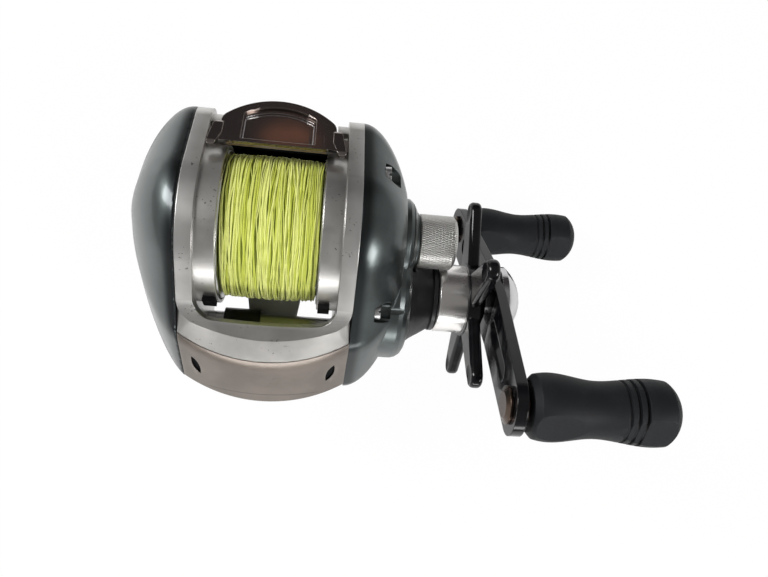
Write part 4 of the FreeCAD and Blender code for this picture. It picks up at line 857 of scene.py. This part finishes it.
def area_lamp(name, place, target, size, watts):
    lamp = bpy.data.lights.new(name, "AREA")
    lamp.shape = "RECTANGLE"
    lamp.size, lamp.size_y = size
    lamp.energy = watts
    thing = bpy.data.objects.new(name, lamp)
    thing.location = place
    thing.rotation_euler = (Vector(target) - Vector(place)).to_track_quat("-Z", "Y").to_euler()
    bpy.context.scene.collection.objects.link(thing)
    return thing


def studio_world(stops):
    """A sky whose tone changes with height, with a dark curtain and one warm card to the rear."""
    world = bpy.data.worlds.new("studio")
    bpy.context.scene.world = world
    world.use_nodes = True
    sky = Graph(world.node_tree)
    split = sky.tree.nodes.new("ShaderNodeSeparateXYZ")
    sky.join(sky.node("ShaderNodeTexCoord", {}, {}, "Generated"), split.inputs[0])
    x, y, z = [Value(sky, output) for output in split.outputs]
    ramp = sky.tree.nodes.new("ShaderNodeValToRGB")
    sky.join(z, ramp.inputs[0])
    while len(ramp.color_ramp.elements) < len(stops):
        ramp.color_ramp.elements.new(0.5)
    for element, (height, tone) in zip(ramp.color_ramp.elements, stops):
        element.position = height
        element.color = (*tone, 1)
    mixed = Value(sky, ramp.outputs[0])
    curtain = y.smooth(0.55, 0.9) * 0.93
    card_foot = (z - (x + 0.05).power(2.0) * 9.0).smooth(0.096, 0.108)
    card = y.smooth(0.8, 0.9) * card_foot * (1.0 - z.smooth(0.118, 0.128))
    for mask, colour in ((curtain, (0.035, 0.030, 0.030)), (card, (0.44, 0.21, 0.14))):
        mixed = sky.node("ShaderNodeMix", {"data_type": "RGBA"}, {0: mask, 6: mixed, 7: (*colour, 1)}, 2)
    seen = sky.node("ShaderNodeLightPath", {}, {}, "Is Camera Ray")
    mixed = sky.node("ShaderNodeMix", {"data_type": "RGBA"}, {0: seen, 6: mixed, 7: (1, 1, 1, 1)}, 2)
    sky.join(mixed, sky.tree.nodes["Background"].inputs[0])


studio_floor()
studio_world([(0.0, (0.44, 0.44, 0.44)), (0.35, (0.38, 0.38, 0.38)), (0.7, (0.24, 0.235, 0.23)),
              (1.0, (0.17, 0.165, 0.16))])
centre = (0.0, 0.0, 0.02)
area_lamp("key", (-0.42, 0.20, 0.38), centre, (0.18, 0.34), 3.2)
area_lamp("fill", (0.40, -0.22, 0.40), centre, (0.20, 0.20), 1.6)
area_lamp("front", (0.0, -0.5, 0.14), centre, (0.5, 0.10), 1.0)

# %% [markdown]
# ## The camera
#
# The view is nearly straight down, as an angler sees the reel, turned a little so that the handle side and
# the front of the frame both show.

# %% Camera
def camera():
    lens = bpy.data.cameras.new("camera")
    lens.sensor_width = 36.0
    lens.lens = 31.25
    lens.clip_start = 0.001
    eye = bpy.data.objects.new("camera", lens)
    right = Vector((0.99158, 0.07866, 0.10290))
    up = Vector((-0.07508, 0.99645, -0.03819))
    back = right.cross(up)
    turn = Matrix((right, up, back)).transposed().to_4x4()
    eye.matrix_world = Matrix.Translation(spool_axis + mm(9.955, -7.194, 158.067)) @ turn
    bpy.context.scene.collection.objects.link(eye)
    bpy.context.scene.camera = eye
    return eye


camera()
bpy.context.scene.view_settings.view_transform = "Standard"
print("studio ready")
